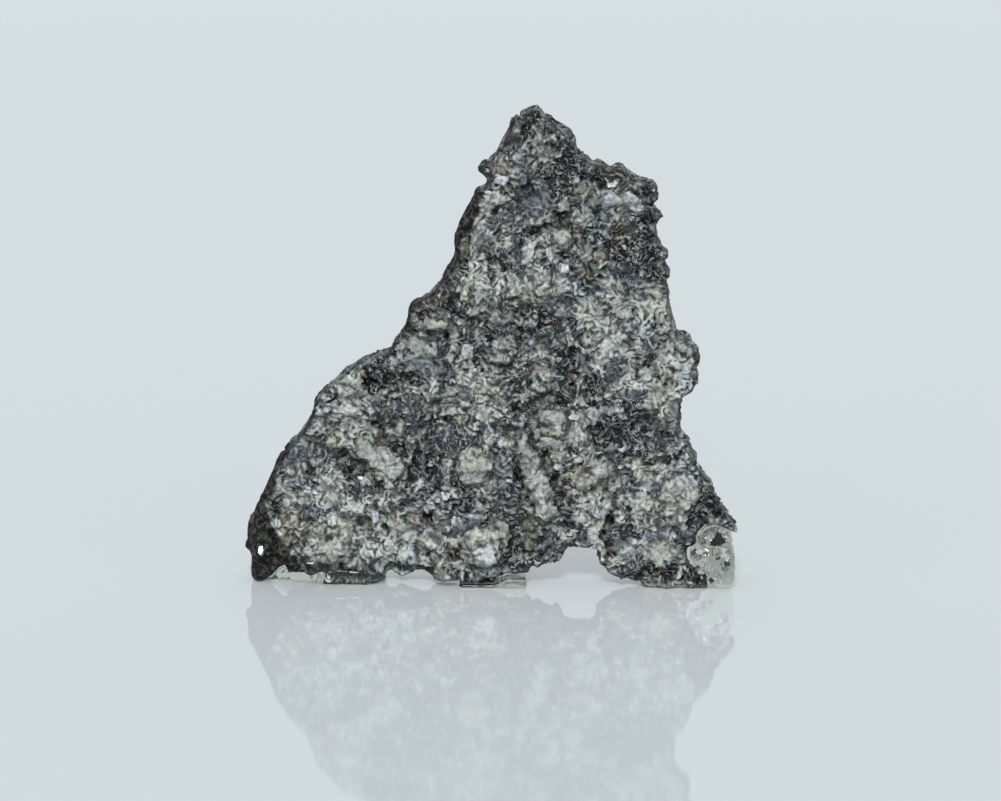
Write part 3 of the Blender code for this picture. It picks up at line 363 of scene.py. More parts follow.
    "pale": [
        (-16.3, 19.2, 5.0, 1.7, -3), (-13.0, 19.4, 0.9, 1.1, -30), (13.4, 42.2, 4.8, 1.7, -4),
        (2.4, 46.6, 1.1, 0.8, 0), (15.3, 41.4, 1.1, 0.7, -15), (12.3, 41.0, 1.2, 0.8, 0), (13.6, 40.5, 1.1, 0.5, 0),
        (10.9, 37.7, 1.0, 1.2, 0), (-8.4, 16.8, 0.5, 0.9, -20), (0.9, 16.0, 1.1, 0.7, 0), (-0.8, 24.1, 1.1, 0.9, 0),
        (10.9, 23.9, 1.0, 0.8, 0), (6.3, 27.9, 2.2, 0.45, 12), (9.5, 25.8, 1.3, 0.4, -52), (9.0, 22.1, 0.4, 2.2, 3),
        (10.4, 19.6, 1.2, 0.8, 0), (6.9, 13.6, 1.2, 0.8, 0), (10.1, 16.2, 0.6, 1.6, -35), (13.6, 15.6, 1.3, 0.6, 15),
        (-5.5, 9.9, 1.2, 1.4, -10), (-6.8, 8.7, 0.4, 1.3, 35), (-8.1, 11.0, 0.7, 0.9, 0), (-7.1, 11.3, 0.6, 0.8, 0),
        (-2.2, 7.8, 2.2, 0.8, -5), (-5.0, 7.0, 0.7, 0.5, 0), (-20.3, 11.0, 1.6, 0.9, -20), (-16.1, 13.5, 0.4, 1.6, 15),
        (-8.3, 9.4, 1.8, 0.5, -15), (6.3, 5.6, 0.5, 1.7, 0), (12.9, 11.3, 1.4, 1.0, 0), (14.4, 4.1, 1.4, 0.8, 0),
        (-0.9, 3.9, 2.6, 2.6, 0), (19.4, 15.5, 1.1, 0.8, 0), (-4.8, 2.4, 1.1, 0.7, 0), (-18.8, 17.9, 1.1, 0.8, 20),
        (-12.9, 24.5, 1.1, 0.4, 50), (-11.7, 24.2, 1.3, 0.4, -50), (13.5, 19.5, 1.0, 0.4, -30), (0.7, 29.2, 1.4, 0.8, 0),
        (-14.3, 13.0, 0.5, 0.5, 0), (5.8, 38.0, 0.4, 1.2, 15), (2.2, 9.8, 0.8, 0.6, 0), (3.9, 26.7, 0.8, 1.1, 0),
    ],
    "olive": [
        (-3.1, 37.0, 1.1, 1.3, 0), (9.7, 43.0, 0.9, 1.3, 0), (4.1, 5.9, 1.5, 3.8, 0), (-21.9, 5.5, 1.6, 1.1, 0),
        (-12.2, 15.7, 1.7, 1.0, 10), (-13.6, 13.2, 1.0, 0.7, -40), (12.6, 4.4, 0.8, 0.7, 0), (10.8, 27.4, 0.7, 0.5, 0),
    ],
    "amber": [
        (5.3, 6.6, 0.5, 0.7, 0), (6.3, 6.8, 0.4, 0.5, 0), (17.8, 1.5, 0.8, 0.4, 10), (-13.4, 6.9, 0.8, 0.3, 0),
    ],
    "white": [
        (0.7, 44.4, 0.9, 0.7, -10), (5.8, 36.6, 0.5, 1.0, 20), (7.3, 35.1, 0.8, 0.8, 0), (8.6, 18.9, 0.8, 0.5, -10),
        (-12.5, 7.8, 0.5, 0.9, 0), (-19.8, 10.4, 0.7, 0.5, 0), (-13.7, 11.7, 0.6, 0.9, -45), (1.8, 11.8, 0.4, 0.3, 0),
        (12.4, 43.9, 0.8, 0.5, 0), (-5.1, 10.1, 0.7, 0.6, 0), (-1.4, 43.4, 0.5, 0.4, 0), (-19.4, 2.4, 0.7, 0.4, 0),
    ],
}
RISE = {"light": 0.10, "cream": 0.10, "taupe": 0.08, "green": 0.48, "pale": 0.14, "olive": 0.08, "white": 0.14}

# The wall that the fusion crust covers, from the lower left corner up to the crown
CRUSTED_WALL = [
    (-24.2, 0.3), (-25.5, -0.1), (-26.0, 1.6), (-26.6, 3.8), (-26.3, 6.3), (-25.0, 9.4), (-23.5, 12.8),
    (-22.0, 15.5), (-20.0, 17.6), (-19.2, 20.2), (-17.6, 22.3), (-14.1, 25.1), (-11.3, 26.1),
    (-9.6, 28.1), (-9.1, 30.6), (-6.9, 32.3), (-5.3, 34.4), (-4.2, 36.2), (-4.3, 38.0), (-2.7, 41.7),
    (-1.5, 43.8), (-2.0, 45.4), (-0.1, 47.3), (1.4, 49.8), (1.6, 50.8),
]
CRUST_WIDTH = [
    (0.0, 2.6), (1.0, 2.8), (3.0, 4.2), (5.0, 3.9), (7.0, 2.1), (9.0, 0.7), (12.0, 0.8), (15.0, 0.6), (20.0, 0.3),
    (25.0, 0.4), (31.0, 0.6), (33.0, 0.7), (35.0, 1.1), (37.0, 0.7), (39.0, 1.3), (41.0, 1.1), (43.0, 0.5),
    (45.0, 0.5), (47.0, 0.3), (51.0, 0.3),
]
DROP = (-24.8, 4.0)      # a glassy drop on the crust, which mirrors the lamp
LAMP = (-0.30, -5.00, 3.90)
EYE = np.array((0.7386, -436.2549, 120.7699))

# Cracks, and painted shadow lines beside and under the larger grains: width in mm, then the places that they pass
CRACKS_AND_SHADOW_LINES = [
    (0.35, (3.0, 38.8), (5.8, 39.4), (7.5, 40.2), (8.2, 41.4)),
    (0.35, (0.0, 41.0), (1.8, 42.0), (3.5, 43.4)),
    (0.30, (-18.6, 18.5), (-16.4, 18.5), (-14.3, 18.3)),
    (0.40, (-7.0, 19.5), (-8.0, 17.0), (-8.0, 14.0)),
    (0.35, (4.0, 20.0), (6.0, 21.2), (7.7, 20.3)),
    (0.30, (2.4, 14.4), (3.0, 12.4), (3.8, 10.0), (5.0, 7.4)),
    (0.35, (3.5, 17.0), (5.2, 14.0), (6.6, 10.6), (7.4, 8.0)),
    (0.35, (-21.6, 4.1), (-20.8, 4.9), (-19.8, 5.5)),
    (0.30, (-20.0, 15.0), (-19.7, 13.0), (-19.3, 11.3)),
    (0.35, (13.3, 10.8), (12.8, 8.6), (12.4, 6.0), (12.2, 3.4)),
    (0.40, (-0.8, 27.4), (0.4, 28.2), (1.6, 28.8)),
    (0.30, (0.2, 7.5), (1.8, 6.8), (2.5, 5.2)),
    (0.30, (13.6, 18.2), (14.6, 18.8), (16.0, 18.4)),
]

FINE = 0.15          # mm between the points of the stone's first skin
STONE_TRIANGLES = 198000
SHARDS = 260
# Crumbs of the stone stuck to the right-hand lump of gel: place and size in mm, mineral
FOREMOST = -3.5         # mm: further out the grains are pressed back, so that the stone keeps its depth
STUCK_CRUMBS = [
    (21.7, 4.7, 0.8, "blue"), (21.9, 3.9, 0.7, "taupe"), (22.3, 2.4, 0.7, "light"), (22.3, 5.5, 0.8, "taupe"),
    (24.3, 5.6, 1.0, "black"), (23.7, 5.3, 0.6, "dark"), (23.2, 5.9, 0.8, "cream"), (24.6, 6.3, 0.8, "light"),
    (25.2, 5.7, 0.6, "cream"), (23.1, 5.0, 0.7, "light"), (24.6, 4.6, 0.9, "light"), (25.2, 4.3, 0.7, "taupe"),
    (23.9, 4.4, 0.8, "taupe"), (24.9, 3.8, 0.8, "light"), (24.1, 3.7, 0.4, "brown"), (25.3, 3.2, 0.6, "brown"),
    (22.1, 4.5, 0.7, "light"), (22.6, 1.2, 0.9, "cream"), (22.3, 0.6, 0.7, "dark"), (23.0, 0.7, 0.5, "brown"),
    (24.9, 2.6, 0.6, "taupe"), (21.9, 2.1, 0.6, "blue"), (23.4, 1.8, 0.5, "light"), (21.9, 1.4, 0.6, "light"),
]


def skin_of(node, name, spacing, passes, finish):
    """A new object with an even, softened skin around a merged copy of a CAD node."""
    bm = bmesh.new()
    bm.from_mesh(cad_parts[node].data)
    bmesh.ops.remove_doubles(bm, verts=bm.verts, dist=0.002 * MM)
    mesh = bpy.data.meshes.new(name)
    bm.to_mesh(mesh)
    bm.free()
    made = new_object(name, mesh, finish)
    remesh = made.modifiers.new("even skin", "REMESH")
    remesh.mode = "VOXEL"
    remesh.voxel_size = spacing * MM
    soften = made.modifiers.new("soften", "SMOOTH")
    soften.factor = 0.5
    soften.iterations = passes
    bake(made)
    return made


def minerals_at(points):
    """Each point's mineral as a number, its distance from the rim of a grain, how much the grain rises, and how dark
    the painted shadow is in the shallow dip beside a clast."""
    front = points[:, 1] < -0.9
    bent = warp(warp(points, 2.0, 0.9, 10), 0.7, 0.5, 13)
    broad = lumps(bent, 2.0, 50)
    other = lumps(bent, 1.5, 51)
    breaks = lumps(bent, 0.9, 52)
    kind = np.full(len(points), KINDS.index("light"))
    kind[other > 0.25] = KINDS.index("green")
    kind[other < -0.3] = KINDS.index("taupe")
    kind[broad > 0.3] = KINDS.index("lilac")
    kind[broad < -0.16] = KINDS.index("blue")
    kind[broad < -0.32] = KINDS.index("dark")
    ragged = warp(warp(points, 1.4, 0.7, 16), 0.5, 0.45, 19)
    for name, shapes in AREAS:
        for shape in shapes:
            inside = front & (oval(ragged[:, 0], ragged[:, 2], shape) < 1) & (breaks < 0.5)
            kind[inside] = KINDS.index(name)
    uneven = warp(warp(points, 1.4, 0.6, 22), 0.5, 0.45, 25)
    rim = np.full(len(points), 9.0)
    shadow = np.zeros(len(points))
    rise = np.zeros(len(points))
    for name, shapes in GRAINS.items():
        for shape in shapes:
            out = oval(uneven[:, 0], uneven[:, 2], shape)
            half = np.sqrt(shape[2] * shape[3]) / 2
            inside = front & (out < 1)
            kind[inside] = KINDS.index(name)
            near = front & (out < 2)
            rise[near] += RISE.get(name, 0.0) * smooth_step((1.15 - out[near]) * half / 0.4)
            rim[near] = np.minimum(rim[near], np.abs(out[near] - 1) * half)
            # Painted shadow: a dark band just outside each clast, as if cast by it
            if name == "green":
                beside = (out[near] - 1) * half - 0.22
                shadow[near] = np.maximum(shadow[near] * (out[near] > 0.95), np.exp(-(beside / 0.22) ** 2))
    return kind, rim, rise, shadow


def flatten_drop(points):
    """Turns the glassy drop on the crust so that it mirrors the lamp into the lens. Gives each point's share in it."""
    dx = points[:, 0] - DROP[0]
    dz = points[:, 2] - DROP[1]
    share = smooth_step((1.5 - np.hypot(dx / 0.32, dz / 0.5)) / 0.5) * (points[:, 1] < 0)
    near = (np.hypot(dx, dz) < 0.7) & (points[:, 1] < 0)
    middle = np.array((DROP[0], points[near, 1].min(), DROP[1]))
    to_lens = EYE - middle
    to_lamp = np.array(LAMP) / MM - middle
    facing = to_lens / np.linalg.norm(to_lens) + to_lamp / np.linalg.norm(to_lamp)
    facet = middle[1] - (facing[0] * dx + facing[2] * dz) / facing[1]
    points[:, 1] += share * (facet - points[:, 1])
    return share


def shape_stone(finish):
    """The stone: the CAD slice's skin, broken into flakes and curls, with its looks written on the points."""
    stone = skin_of("shergottite_slice", "stone", FINE, 5, finish)
    mesh = stone.data
    points = to_mm(points_of(mesh))
    normals = points_of(mesh, "normal")
    x = points[:, 0]
    z = points[:, 2]
    kind, rim, rise, groove_shadow = minerals_at(points)
    looks = np.array([[*linear(MINERALS[k][0])[:3], *MINERALS[k][1:]] for k in KINDS])[kind]
    crumb = looks[:, 4]
    wall = distance_to(CRUSTED_WALL, x, z)
    reach = np.interp(z, *zip(*CRUST_WIDTH)) + 0.45 * lumps(points, 1.4, 31)
    behind = smooth_step((points[:, 1] + 0.5) / 1.5)
    crust = smooth_step((reach * (1 - 0.6 * behind) - wall) / 0.35 + 0.5)
    rim_of_face = smooth_step((0.90 - np.abs(normals[:, 1])) / 0.4)

    bent = warp(warp(points, 1.4, 0.9, 60), 0.5, 0.35, 63)
    coarse, coarse_at, coarse_rim = flakes(bent, 2.0, 1)
    fine, fine_at, fine_rim = flakes(bent, 0.8, 2)
    curls = wrinkles(points, 0.66, 66)
    smooth = (0.3 + 0.7 * crumb) * (1 - rise)
    lift = smooth * (0.40 * np.einsum("ij,ij->i", coarse[:, :3] - 0.5, coarse_at) + 0.26 * (coarse[:, 3] - 0.5))
    lift += smooth * (0.30 * np.einsum("ij,ij->i", fine[:, :3] - 0.5, fine_at) + 0.08 * (fine[:, 3] - 0.5))
    lift += 0.13 * curls * crumb
    patchy = smooth_step(0.35 + 1.3 * lumps(points, 1.9, 33))
    seam_and_shadow = np.exp(-(coarse_rim / 0.12) ** 2) * patchy
    seam_and_shadow = np.maximum(seam_and_shadow, np.exp(-((rim - 0.03) / 0.16) ** 2) * smooth_step(0.6 + 1.4 * lumps(points, 0.9, 34)))
    stray = warp(warp(points, 1.0, 0.5, 72), 0.4, 0.25, 75)
    for width, *path in CRACKS_AND_SHADOW_LINES:
        apart = distance_to(path, stray[:, 0], stray[:, 2])
        seam_and_shadow = np.where(points[:, 1] < -0.9, np.maximum(seam_and_shadow, np.exp(-(apart / width * 1.4) ** 2)), seam_and_shadow)
    # The painted shadow beside the clasts joins the dark lines, which also sink the face a little
    seam_and_shadow = np.maximum(seam_and_shadow, groove_shadow * smooth_step(0.7 + 1.4 * lumps(points, 1.2, 40)))
    lift += rise - looks[:, 6] - 0.25 * seam_and_shadow
    lift += 0.14 * lumps(points, 1.0, 35)
    shell = 0.20 * lumps(points, 1.3, 37) + 0.12 * lumps(points, 0.5, 38)
    lift = lift * (1 - crust) + shell * crust
    lift -= np.maximum(smooth_step(-2.5 * normals[:, 2] - 0.5), 0.6 * rim_of_face) * np.maximum(lift, 0)
    lift *= smooth_step(z / 0.6 + 0.15)
    moved = points + normals * lift[:, None]
    low = smooth_step((2.2 - z) / 1.4)
    moved[:, 2] -= (0.6 * low * smooth_step((points[:, 1] + 3.2) / 0.6)
                    * smooth_step((x + 3.6) / 0.6) * smooth_step((0.6 - x) / 0.6))
    moved[:, 2] -= (1.35 * smooth_step((3.2 - z) / 1.2) * smooth_step((points[:, 1] + 2.6) / 0.6)
                    * smooth_step((x + 22.4) / 0.7) * smooth_step((-11.2 - x) / 0.7))
    moved[:, 2] = np.maximum(moved[:, 2], 0.0)
    over = np.maximum(FOREMOST - moved[:, 1], 0)
    moved[:, 1] += over - 0.35 * (1 - np.exp(-over / 0.35))
    drop = flatten_drop(moved)
    mesh.vertices.foreach_set("co", to_metres(moved).ravel())

    tone = 1 + smooth * (0.40 * (coarse[:, 0] - 0.5) + 0.30 * (fine[:, 1] - 0.5))
    # Painted shade, partly the walls' own darker stone: the walls that turn away from the front are darkened
    tone *= 1 - 0.6 * rim_of_face
    tone *= 1.12 - 0.0055 * z          # painted light: the foot is made paler than the crown, as light coming up through the shelf would make it
    warmth = 0.10 * (coarse[:, 2] - 0.5) + 0.07 * lumps(points, 1.3, 36) + 0.04 * lumps(points, 5.0, 39)
    warmth *= 1 + 3 * smooth_step(1 - looks[:, 1] / 0.15)
    colour = looks[:, :3] * tone[:, None] * (1 + warmth[:, None] * np.array((1.0, 0.2, -1.0)))
    colour = np.column_stack([colour.clip(0, 1), np.ones(len(points))])
    # This colour carries the painted shade at the walls and the painted light at the foot
    mesh.attributes.new("mineral", "FLOAT_COLOR", "POINT").data.foreach_set("color", colour.ravel())
    gloss = looks[:, 3] * (1 - crust) + crust * np.maximum(0.4 * smooth_step((10 - z) / 4), drop)
    for name, values in (("gloss", gloss), ("crumb", crumb), ("speckle", looks[:, 5]),
                         ("ridge", curls), ("seam_and_shadow", seam_and_shadow), ("crust", crust)):
        mesh.attributes.new(name, "FLOAT", "POINT").data.foreach_set("value", values)
    mesh.update()
    keep = stone.vertex_groups.new(name="thin first")
    back = smooth_step(2 * normals[:, 1] - 0.4) * smooth_step(points[:, 1])
    away = np.where(drop > 0, 0.0, np.round(0.1 + 0.5 * back, 1))
    for step in np.unique(away):
        keep.add(np.nonzero(away == step)[0].tolist(), float(step), "REPLACE")
    thin = stone.modifiers.new("thin out", "DECIMATE")
    thin.ratio = min(1.0, STONE_TRIANGLES / (2 * len(mesh.polygons)))
    thin.vertex_group = "thin first"
    thin.vertex_group_factor = 1.0
    bake(stone)
    stone.vertex_groups.clear()
    stone.data.shade_smooth()
    front = (points[:, 1] < -0.9) & (normals[:, 1] < -0.7)
    return stone, moved[front], np.where(crust < 0.1, kind, -1)[front]


def shard(bm, layer, place, size, turn, colour, rng):
    """One shard of feldspar: the hull around the shifted corners of a lath, set on the face at a place in mm."""
    corners = np.array(list(np.ndindex(2, 2, 2))) - 0.5 + rng.uniform(-0.28, 0.28, (8, 3))
    place = np.maximum(place, (-np.inf, FOREMOST, 0))
    matrix = Matrix.Translation(Vector(to_metres(place))) @ Matrix.Rotation(-radians(turn), 4, "Y")
    matrix @= Matrix.Rotation(rng.uniform(-0.5, 0.5), 4, "X") @ Matrix.Diagonal((*(np.array(size) * MM), 1.0))
    made = [bm.verts.new(matrix @ Vector(corner)) for corner in corners]
    for corner in made:
        corner[layer] = colour
    hull = bmesh.ops.convex_hull(bm, input=made)
    bmesh.ops.delete(bm, geom=hull["geom_interior"], context="VERTS")


def scatter_shards(face, kind, lump, finish):
    """The feldspar shards, large ones where the photographed stone has them and small ones in the dark areas,
    and the crumbs on the lump of gel."""
    rng = np.random.RandomState(21)
    bm = bmesh.new()
    layer = bm.verts.layers.float_color.new("mineral")
    for x, z, length, height, turn in GRAINS["white"]:
        place = face[np.hypot(face[:, 0] - x, face[:, 2] - z).argmin()]
        shard(bm, layer, place, (1.1 * length, 0.5, height), turn, linear("C3C9CC"), rng)
    tints = [linear(MINERALS[name][0]) for name in ("light", "lilac", "blue", "taupe")]
    dark = [KINDS.index(name) for name in ("dark", "blue", "brown")]
    chosen = rng.choice(np.nonzero(np.isin(kind, dark))[0], SHARDS, replace=False)
    for place in face[chosen]:
        size = (rng.uniform(0.3, 0.7), 0.2, rng.uniform(0.14, 0.35))
        shard(bm, layer, place, size, rng.uniform(0, 180), tints[rng.randint(4)], rng)
    for x, z, size, name in STUCK_CRUMBS:
        place = lump[np.hypot(lump[:, 0] - x, lump[:, 2] - z).argmin()]
        shard(bm, layer, place, (size, 0.4, 0.8 * size), rng.uniform(0, 180), linear(MINERALS[name][0]), rng)
    bmesh.ops.recalc_face_normals(bm, faces=bm.faces)
    mesh = bpy.data.meshes.new("shards")
    bm.to_mesh(mesh)
    bm.free()
    return new_object("shards", mesh, finish)


def shergottite():
    """Shergottite, broken open: crumbly pyroxene grains, feldspar glass between them, black crust outside."""
    made = bpy.data.materials.new("shergottite_broken")
    made.use_nodes = True
    tree = made.node_tree
    shader = tree.nodes["Principled BSDF"]
    place = add(tree, "ShaderNodeTexCoord", give="Object")
    mm = add(tree, "ShaderNodeMapping", {"Scale": (1 / MM, 1 / MM, 1 / MM)}, {"Vector": place})
    mineral = add(tree, "ShaderNodeAttribute", {"attribute_name": "mineral"}, give="Color")
    crust = add(tree, "ShaderNodeAttribute", {"attribute_name": "crust"}, give="Fac")
    crumb = add(tree, "ShaderNodeAttribute", {"attribute_name": "crumb"}, give="Fac")
    gloss = add(tree, "ShaderNodeAttribute", {"attribute_name": "gloss"}, give="Fac")
    speckle = add(tree, "ShaderNodeAttribute", {"attribute_name": "speckle"}, give="Fac")
    ridge = add(tree, "ShaderNodeAttribute", {"attribute_name": "ridge"}, give="Fac")
    seam_and_shadow = add(tree, "ShaderNodeAttribute", {"attribute_name": "seam_and_shadow"}, give="Fac")

    wander = add(tree, "ShaderNodeTexNoise", {"Scale": 1 / 1.0, "Detail": 1.0}, {"Vector": mm}, give="Color")
    swirl = add(tree, "ShaderNodeVectorMath", {"operation": "MULTIPLY_ADD", 1: (1.2, 1.2, 1.2)}, {0: wander, 2: mm})
    # Painted shade in the valleys of the curls and painted highlight on their crests, in step with the relief
    gap = add(tree, "ShaderNodeMapRange", {"interpolation_type": "SMOOTHSTEP", 1: -0.8, 2: 0.1, 3: 1.0, 4: 0.0},
              {"Value": ridge})
    crest_highlight = add(tree, "ShaderNodeMapRange", {"interpolation_type": "SMOOTHSTEP", 1: 0.1, 2: 0.9}, {"Value": ridge})
    broad = add(tree, "ShaderNodeTexNoise", {"Scale": 1 / 2.6, "Detail": 1.0}, {"Vector": mm})
    broad = add(tree, "ShaderNodeMapRange", {1: 0.35, 2: 0.6, 3: 0.7, 4: 1.1}, {"Value": broad})
    crumb = add(tree, "ShaderNodeMath", {"operation": "MULTIPLY"}, {0: crumb, 1: broad})
    gap = add(tree, "ShaderNodeMath", {"operation": "MULTIPLY"}, {0: gap, 1: crumb})
    crest_highlight = add(tree, "ShaderNodeMath", {"operation": "MULTIPLY"}, {0: crest_highlight, 1: crumb})

    mottle = add(tree, "ShaderNodeTexNoise", {"Scale": 1 / 0.35, "Detail": 2.0}, {"Vector": mm})
    shade = add(tree, "ShaderNodeMapRange", {1: 0.3, 2: 0.7, 3: 0.6, 4: 1.4}, {"Value": mottle})
    # Painted glints: thin pale threads that run through the dark minerals, in patches, brightened like glinting glass
    strand = add(tree, "ShaderNodeTexNoise", {"Scale": 1 / 0.55, "Detail": 0.5, "Distortion": 0.6}, {"Vector": swirl})
    strand = add(tree, "ShaderNodeMath", {"operation": "SUBTRACT", 1: 0.5}, {0: strand})
    strand = add(tree, "ShaderNodeMath", {"operation": "ABSOLUTE"}, {0: strand})
    strand = add(tree, "ShaderNodeMapRange", {1: 0.06, 2: 0.01}, {"Value": strand})
    patch = add(tree, "ShaderNodeTexNoise", {"Scale": 1 / 1.3, "Detail": 1.0}, {"Vector": mm})
    patch = add(tree, "ShaderNodeMapRange", {1: 0.42, 2: 0.62}, {"Value": patch})
    glint = add(tree, "ShaderNodeMath", {"operation": "MULTIPLY"}, {0: strand, 1: patch})
    glint = add(tree, "ShaderNodeMath", {"operation": "MULTIPLY"}, {0: glint, 1: speckle})

    body = add(tree, "ShaderNodeMix", {"data_type": "RGBA", "blend_type": "MULTIPLY", 0: 1.0}, {6: mineral, 7: shade},
               give=2)
    # Painted highlight on the crests of the curls, then painted shade in their valleys
    share = add(tree, "ShaderNodeMath", {"operation": "MULTIPLY", 1: 0.38}, {0: crest_highlight})
    body = add(tree, "ShaderNodeMix", {"data_type": "RGBA", 7: linear("D6DBD8")}, {0: share, 6: body}, give=2)
    share = add(tree, "ShaderNodeMath", {"operation": "MULTIPLY", 1: 0.85}, {0: gap})
    body = add(tree, "ShaderNodeMix", {"data_type": "RGBA", "blend_type": "MULTIPLY", 7: linear("323436")},
               {0: share, 6: body}, give=2)
    # Near-black along seams and cracks, and painted shadow beside the clasts and under the grains
    share = add(tree, "ShaderNodeMath", {"operation": "MULTIPLY", 1: 0.9}, {0: seam_and_shadow})
    body = add(tree, "ShaderNodeMix", {"data_type": "RGBA", 7: linear("101111")}, {0: share, 6: body}, give=2)
    body = add(tree, "ShaderNodeMix", {"data_type": "RGBA", 7: linear("C9CFD3")}, {0: glint, 6: body}, give=2)
    shell = add(tree, "ShaderNodeTexNoise", {"Scale": 1 / 0.7, "Detail": 4.0, "Roughness": 0.65}, {"Vector": swirl})
    fleck = add(tree, "ShaderNodeMapRange", {1: 0.46, 2: 0.64}, {"Value": shell})
    skin = add(tree, "ShaderNodeMix", {"data_type": "RGBA", 6: linear("0E1011"), 7: linear("56534E")}, {0: fleck},
               give=2)
    body = add(tree, "ShaderNodeMix", {"data_type": "RGBA"}, {0: crust, 6: body, 7: skin}, give=2)
    tree.links.new(body, shader.inputs["Base Color"])
    dull = add(tree, "ShaderNodeMapRange", {3: 0.75, 4: 0.12}, {"Value": gloss})
    tree.links.new(dull, shader.inputs["Roughness"])
    sheen = add(tree, "ShaderNodeMapRange", {3: 0.2, 4: 0.1}, {"Value": crust})
    mirror = add(tree, "ShaderNodeMapRange", {1: 0.5, 2: 1.0, 4: 0.8}, {"Value": gloss})
    mirror = add(tree, "ShaderNodeMath", {"operation": "MULTIPLY"}, {0: mirror, 1: crust})
    sheen = add(tree, "ShaderNodeMath", {"operation": "ADD"}, {0: sheen, 1: mirror})
    tree.links.new(sheen, shader.inputs["Specular IOR Level"])

    relief = add(tree, "ShaderNodeMath", {"operation": "ADD"}, {0: mottle, 1: glint})
    shell = add(tree, "ShaderNodeMath", {"operation": "MULTIPLY", 1: 2.5}, {0: shell})
    relief = add(tree, "ShaderNodeMix", {"data_type": "FLOAT"}, {0: crust, 2: relief, 3: shell})
    rough = add(tree, "ShaderNodeMapRange", {1: 0.6, 3: 1.0, 4: 0.0}, {"Value": gloss})
    relief = add(tree, "ShaderNodeMath", {"operation": "MULTIPLY"}, {0: relief, 1: rough})
    bump = add(tree, "ShaderNodeBump", {"Strength": 0.9, "Distance": 0.11 * MM}, {"Height": relief})
    tree.links.new(bump, shader.inputs["Normal"])
    return made


def feldspar():
    """Feldspar, shocked to glass and broken: pale, a little glossy, uneven in tone."""
    made = bpy.data.materials.new("feldspar_broken")
    made.use_nodes = True
    tree = made.node_tree
    shader = tree.nodes["Principled BSDF"]
    place = add(tree, "ShaderNodeTexCoord", give="Object")
    mm = add(tree, "ShaderNodeMapping", {"Scale": (1 / MM, 1 / MM, 1 / MM)}, {"Vector": place})
    mineral = add(tree, "ShaderNodeAttribute", {"attribute_name": "mineral"}, give="Color")
    mottle = add(tree, "ShaderNodeTexNoise", {"Scale": 1 / 0.3, "Detail": 2.0}, {"Vector": mm})
    shade = add(tree, "ShaderNodeMapRange", {1: 0.35, 2: 0.65, 3: 0.45, 4: 1.1}, {"Value": mottle})
    body = add(tree, "ShaderNodeMix", {"data_type": "RGBA", "blend_type": "MULTIPLY", 0: 1.0}, {6: mineral, 7: shade},
               give=2)
    tree.links.new(body, shader.inputs["Base Color"])
    shader.inputs["Roughness"].default_value = 0.45
    bump = add(tree, "ShaderNodeBump", {"Strength": 0.6, "Distance": 0.05 * MM}, {"Height": mottle})
    tree.links.new(bump, shader.inputs["Normal"])
    return made


def mounting_gel():
    """Clear silicone mounting gel, pressed on by hand: see-through, faintly grey, with a soft skin."""
    made = bpy.data.materials.new("silicone_gel_pressed")
    made.use_nodes = True
    tree = made.node_tree
    shader = tree.nodes["Principled BSDF"]
    shader.inputs["Base Color"].default_value = linear("F4F7F5")
    shader.inputs["Transmission Weight"].default_value = 1.0
    shader.inputs["IOR"].default_value = 1.41
    shader.inputs["Roughness"].default_value = 0.12
    tint = add(tree, "ShaderNodeVolumeAbsorption", {"Color": linear("D6D4C6"), "Density": 110.0})
    tree.links.new(tint, tree.nodes["Material Output"].inputs["Volume"])
    place = add(tree, "ShaderNodeTexCoord", give="Object")
    mm = add(tree, "ShaderNodeMapping", {"Scale": (1 / MM, 1 / MM, 1 / MM)}, {"Vector": place})
    ripple = add(tree, "ShaderNodeTexNoise", {"Scale": 1 / 1.2, "Detail": 2.0}, {"Vector": mm})
    bump = add(tree, "ShaderNodeBump", {"Strength": 0.3, "Distance": 0.15 * MM}, {"Height": ripple})
    tree.links.new(bump, shader.inputs["Normal"])
    return made


def shelf():
    """A pale, glossy moulded shelf that glows a little, painted light standing in for light coming up through it:
    plain, with a faint mirror image of the stone.
    """
    made = bpy.data.materials.new("acrylic_pale")
    made.use_nodes = True
    shader = made.node_tree.nodes["Principled BSDF"]
    shader.inputs["Base Color"].default_value = linear("B3B8BA")
    shader.inputs["Roughness"].default_value = 0.05
    shader.inputs["IOR"].default_value = 1.57
    # Painted light: the shelf glows faintly, as if lit from below
    shader.inputs["Emission Color"].default_value = linear("DDE5E8")
    shader.inputs["Emission Strength"].default_value = 0.19
    return made


rock = shergottite()
gel = mounting_gel()

stone, face, face_kind = shape_stone(rock)
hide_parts("shergottite_slice")

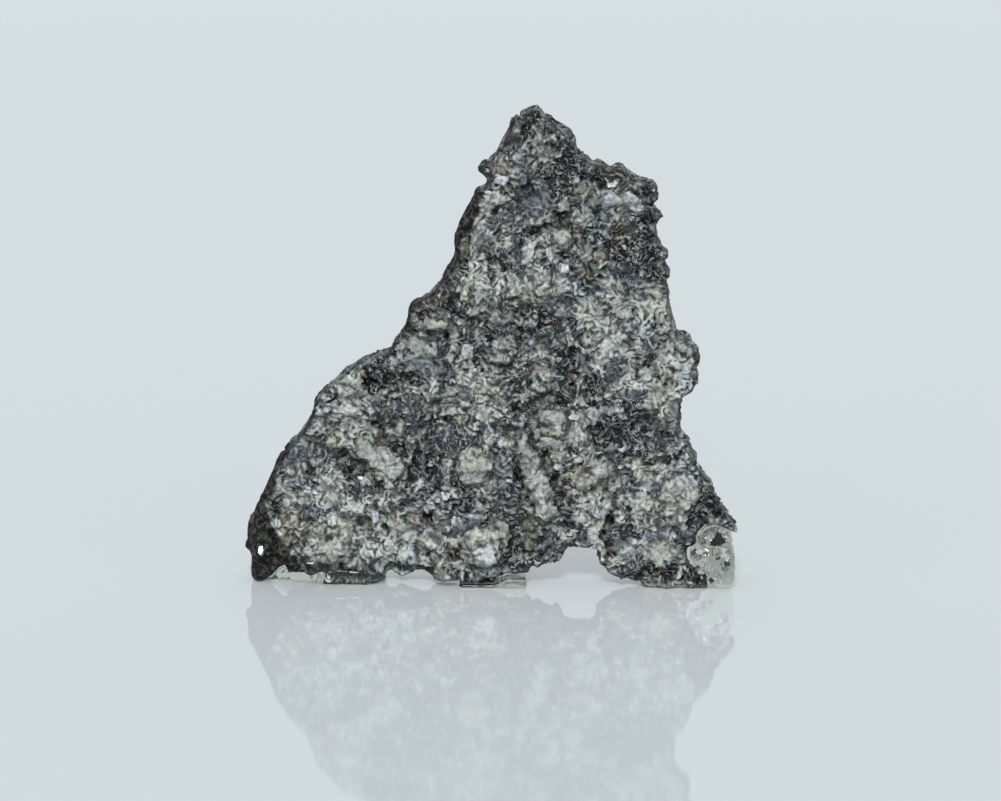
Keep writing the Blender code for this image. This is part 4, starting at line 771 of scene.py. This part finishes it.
# How uneven each lump is, and the rings that bubbles and a finger left in the gel: (x, z, size, swell) in mm
RIPPLE = {"gel_pad_left": 0.07, "gel_pad_middle": 0.03, "gel_pad_right": 0.20}
DIMPLES = [(22.5, 3.2, 1.2, 0.4), (24.6, 5.6, 0.8, 0.35), (25.1, 2.8, 0.7, 0.25), (23.9, 1.2, 0.6, 0.2), (23.9, 4.2, 0.6, 0.25),
           (-17.4, 1.0, 0.5, 0.3), (-22.3, 0.9, 0.8, 0.2), (-19.6, 0.8, 0.7, 0.25), (1.9, 0.5, 0.6, 0.1)]
for node in RIPPLE:
    pad = skin_of(node, node.replace("pad", "lump"), 0.18, 6, gel)
    spots = to_mm(points_of(pad.data))
    facing = points_of(pad.data, "normal")
    push = RIPPLE[node] * (lumps(spots, 1.7, 41) + 0.5 * lumps(spots, 0.8, 42))
    for x, z, size, swell in DIMPLES:
        apart = np.hypot(spots[:, 0] - x, spots[:, 2] - z) / size
        push += swell * (spots[:, 1] < 0) * (smooth_step(1.3 - apart) - 0.8 * smooth_step(1.1 - 1.4 * apart))
    spots += facing * (push * smooth_step(spots[:, 2] / 0.7))[:, None]
    spots[:, 2] = np.maximum(spots[:, 2], 0.01)
    pad.data.vertices.foreach_set("co", to_metres(spots).ravel())
    pad.data.shade_smooth()
    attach(pad, "root")
    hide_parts(node)

shards = scatter_shards(face, face_kind, spots[facing[:, 1] < -0.3], feldspar())
for made in (stone, shards):
    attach(made, "root")

bm = bmesh.new()
bmesh.ops.create_grid(bm, x_segments=1, y_segments=1, size=2.0)
bmesh.ops.translate(bm, vec=(0, 0, -0.02 * MM), verts=bm.verts)
ground = bpy.data.meshes.new("shelf")
bm.to_mesh(ground)
bm.free()
floor = new_object("shelf", ground, shelf())

world = bpy.data.worlds.new("studio")
bpy.context.scene.world = world
world.use_nodes = True
world.node_tree.nodes["Background"].inputs["Color"].default_value = linear("DDE5E8")
world.node_tree.nodes["Background"].inputs["Strength"].default_value = 0.86


def softbox(name, place, size, power, colour="FFFFFF"):
    """A square area light that faces the middle of the stone."""
    data = bpy.data.lights.new(name, "AREA")
    data.shape = "SQUARE"
    data.size = size
    data.energy = power
    data.color = linear(colour)[:3]
    made = bpy.data.objects.new(name, data)
    made.location = place
    made.rotation_euler = (Vector((0, 0, 0.025)) - Vector(place)).to_track_quat("-Z", "Y").to_euler()
    bpy.context.scene.collection.objects.link(made)


softbox("key", LAMP, 1.1, 290.0)

ELEVATION = radians(13.0)
ROLL = radians(0.5)
lens = bpy.data.cameras.new("view")
lens.sensor_width = 36.0
lens.lens = 150.547
lens.clip_start = 0.01
camera = bpy.data.objects.new("view", lens)
back = Vector((0.0, -cos(ELEVATION), sin(ELEVATION)))
up = Vector((0.0, sin(ELEVATION), cos(ELEVATION)))
across = Vector((1.0, 0.0, 0.0))
side = across * cos(ROLL) + up * sin(ROLL)
tall = up * cos(ROLL) - across * sin(ROLL)
camera.matrix_world = Matrix.Translation(to_metres(EYE)) @ Matrix((side, tall, back)).transposed().to_4x4()
bpy.context.scene.collection.objects.link(camera)
bpy.context.scene.camera = camera
bpy.context.scene.view_settings.view_transform = "Standard"
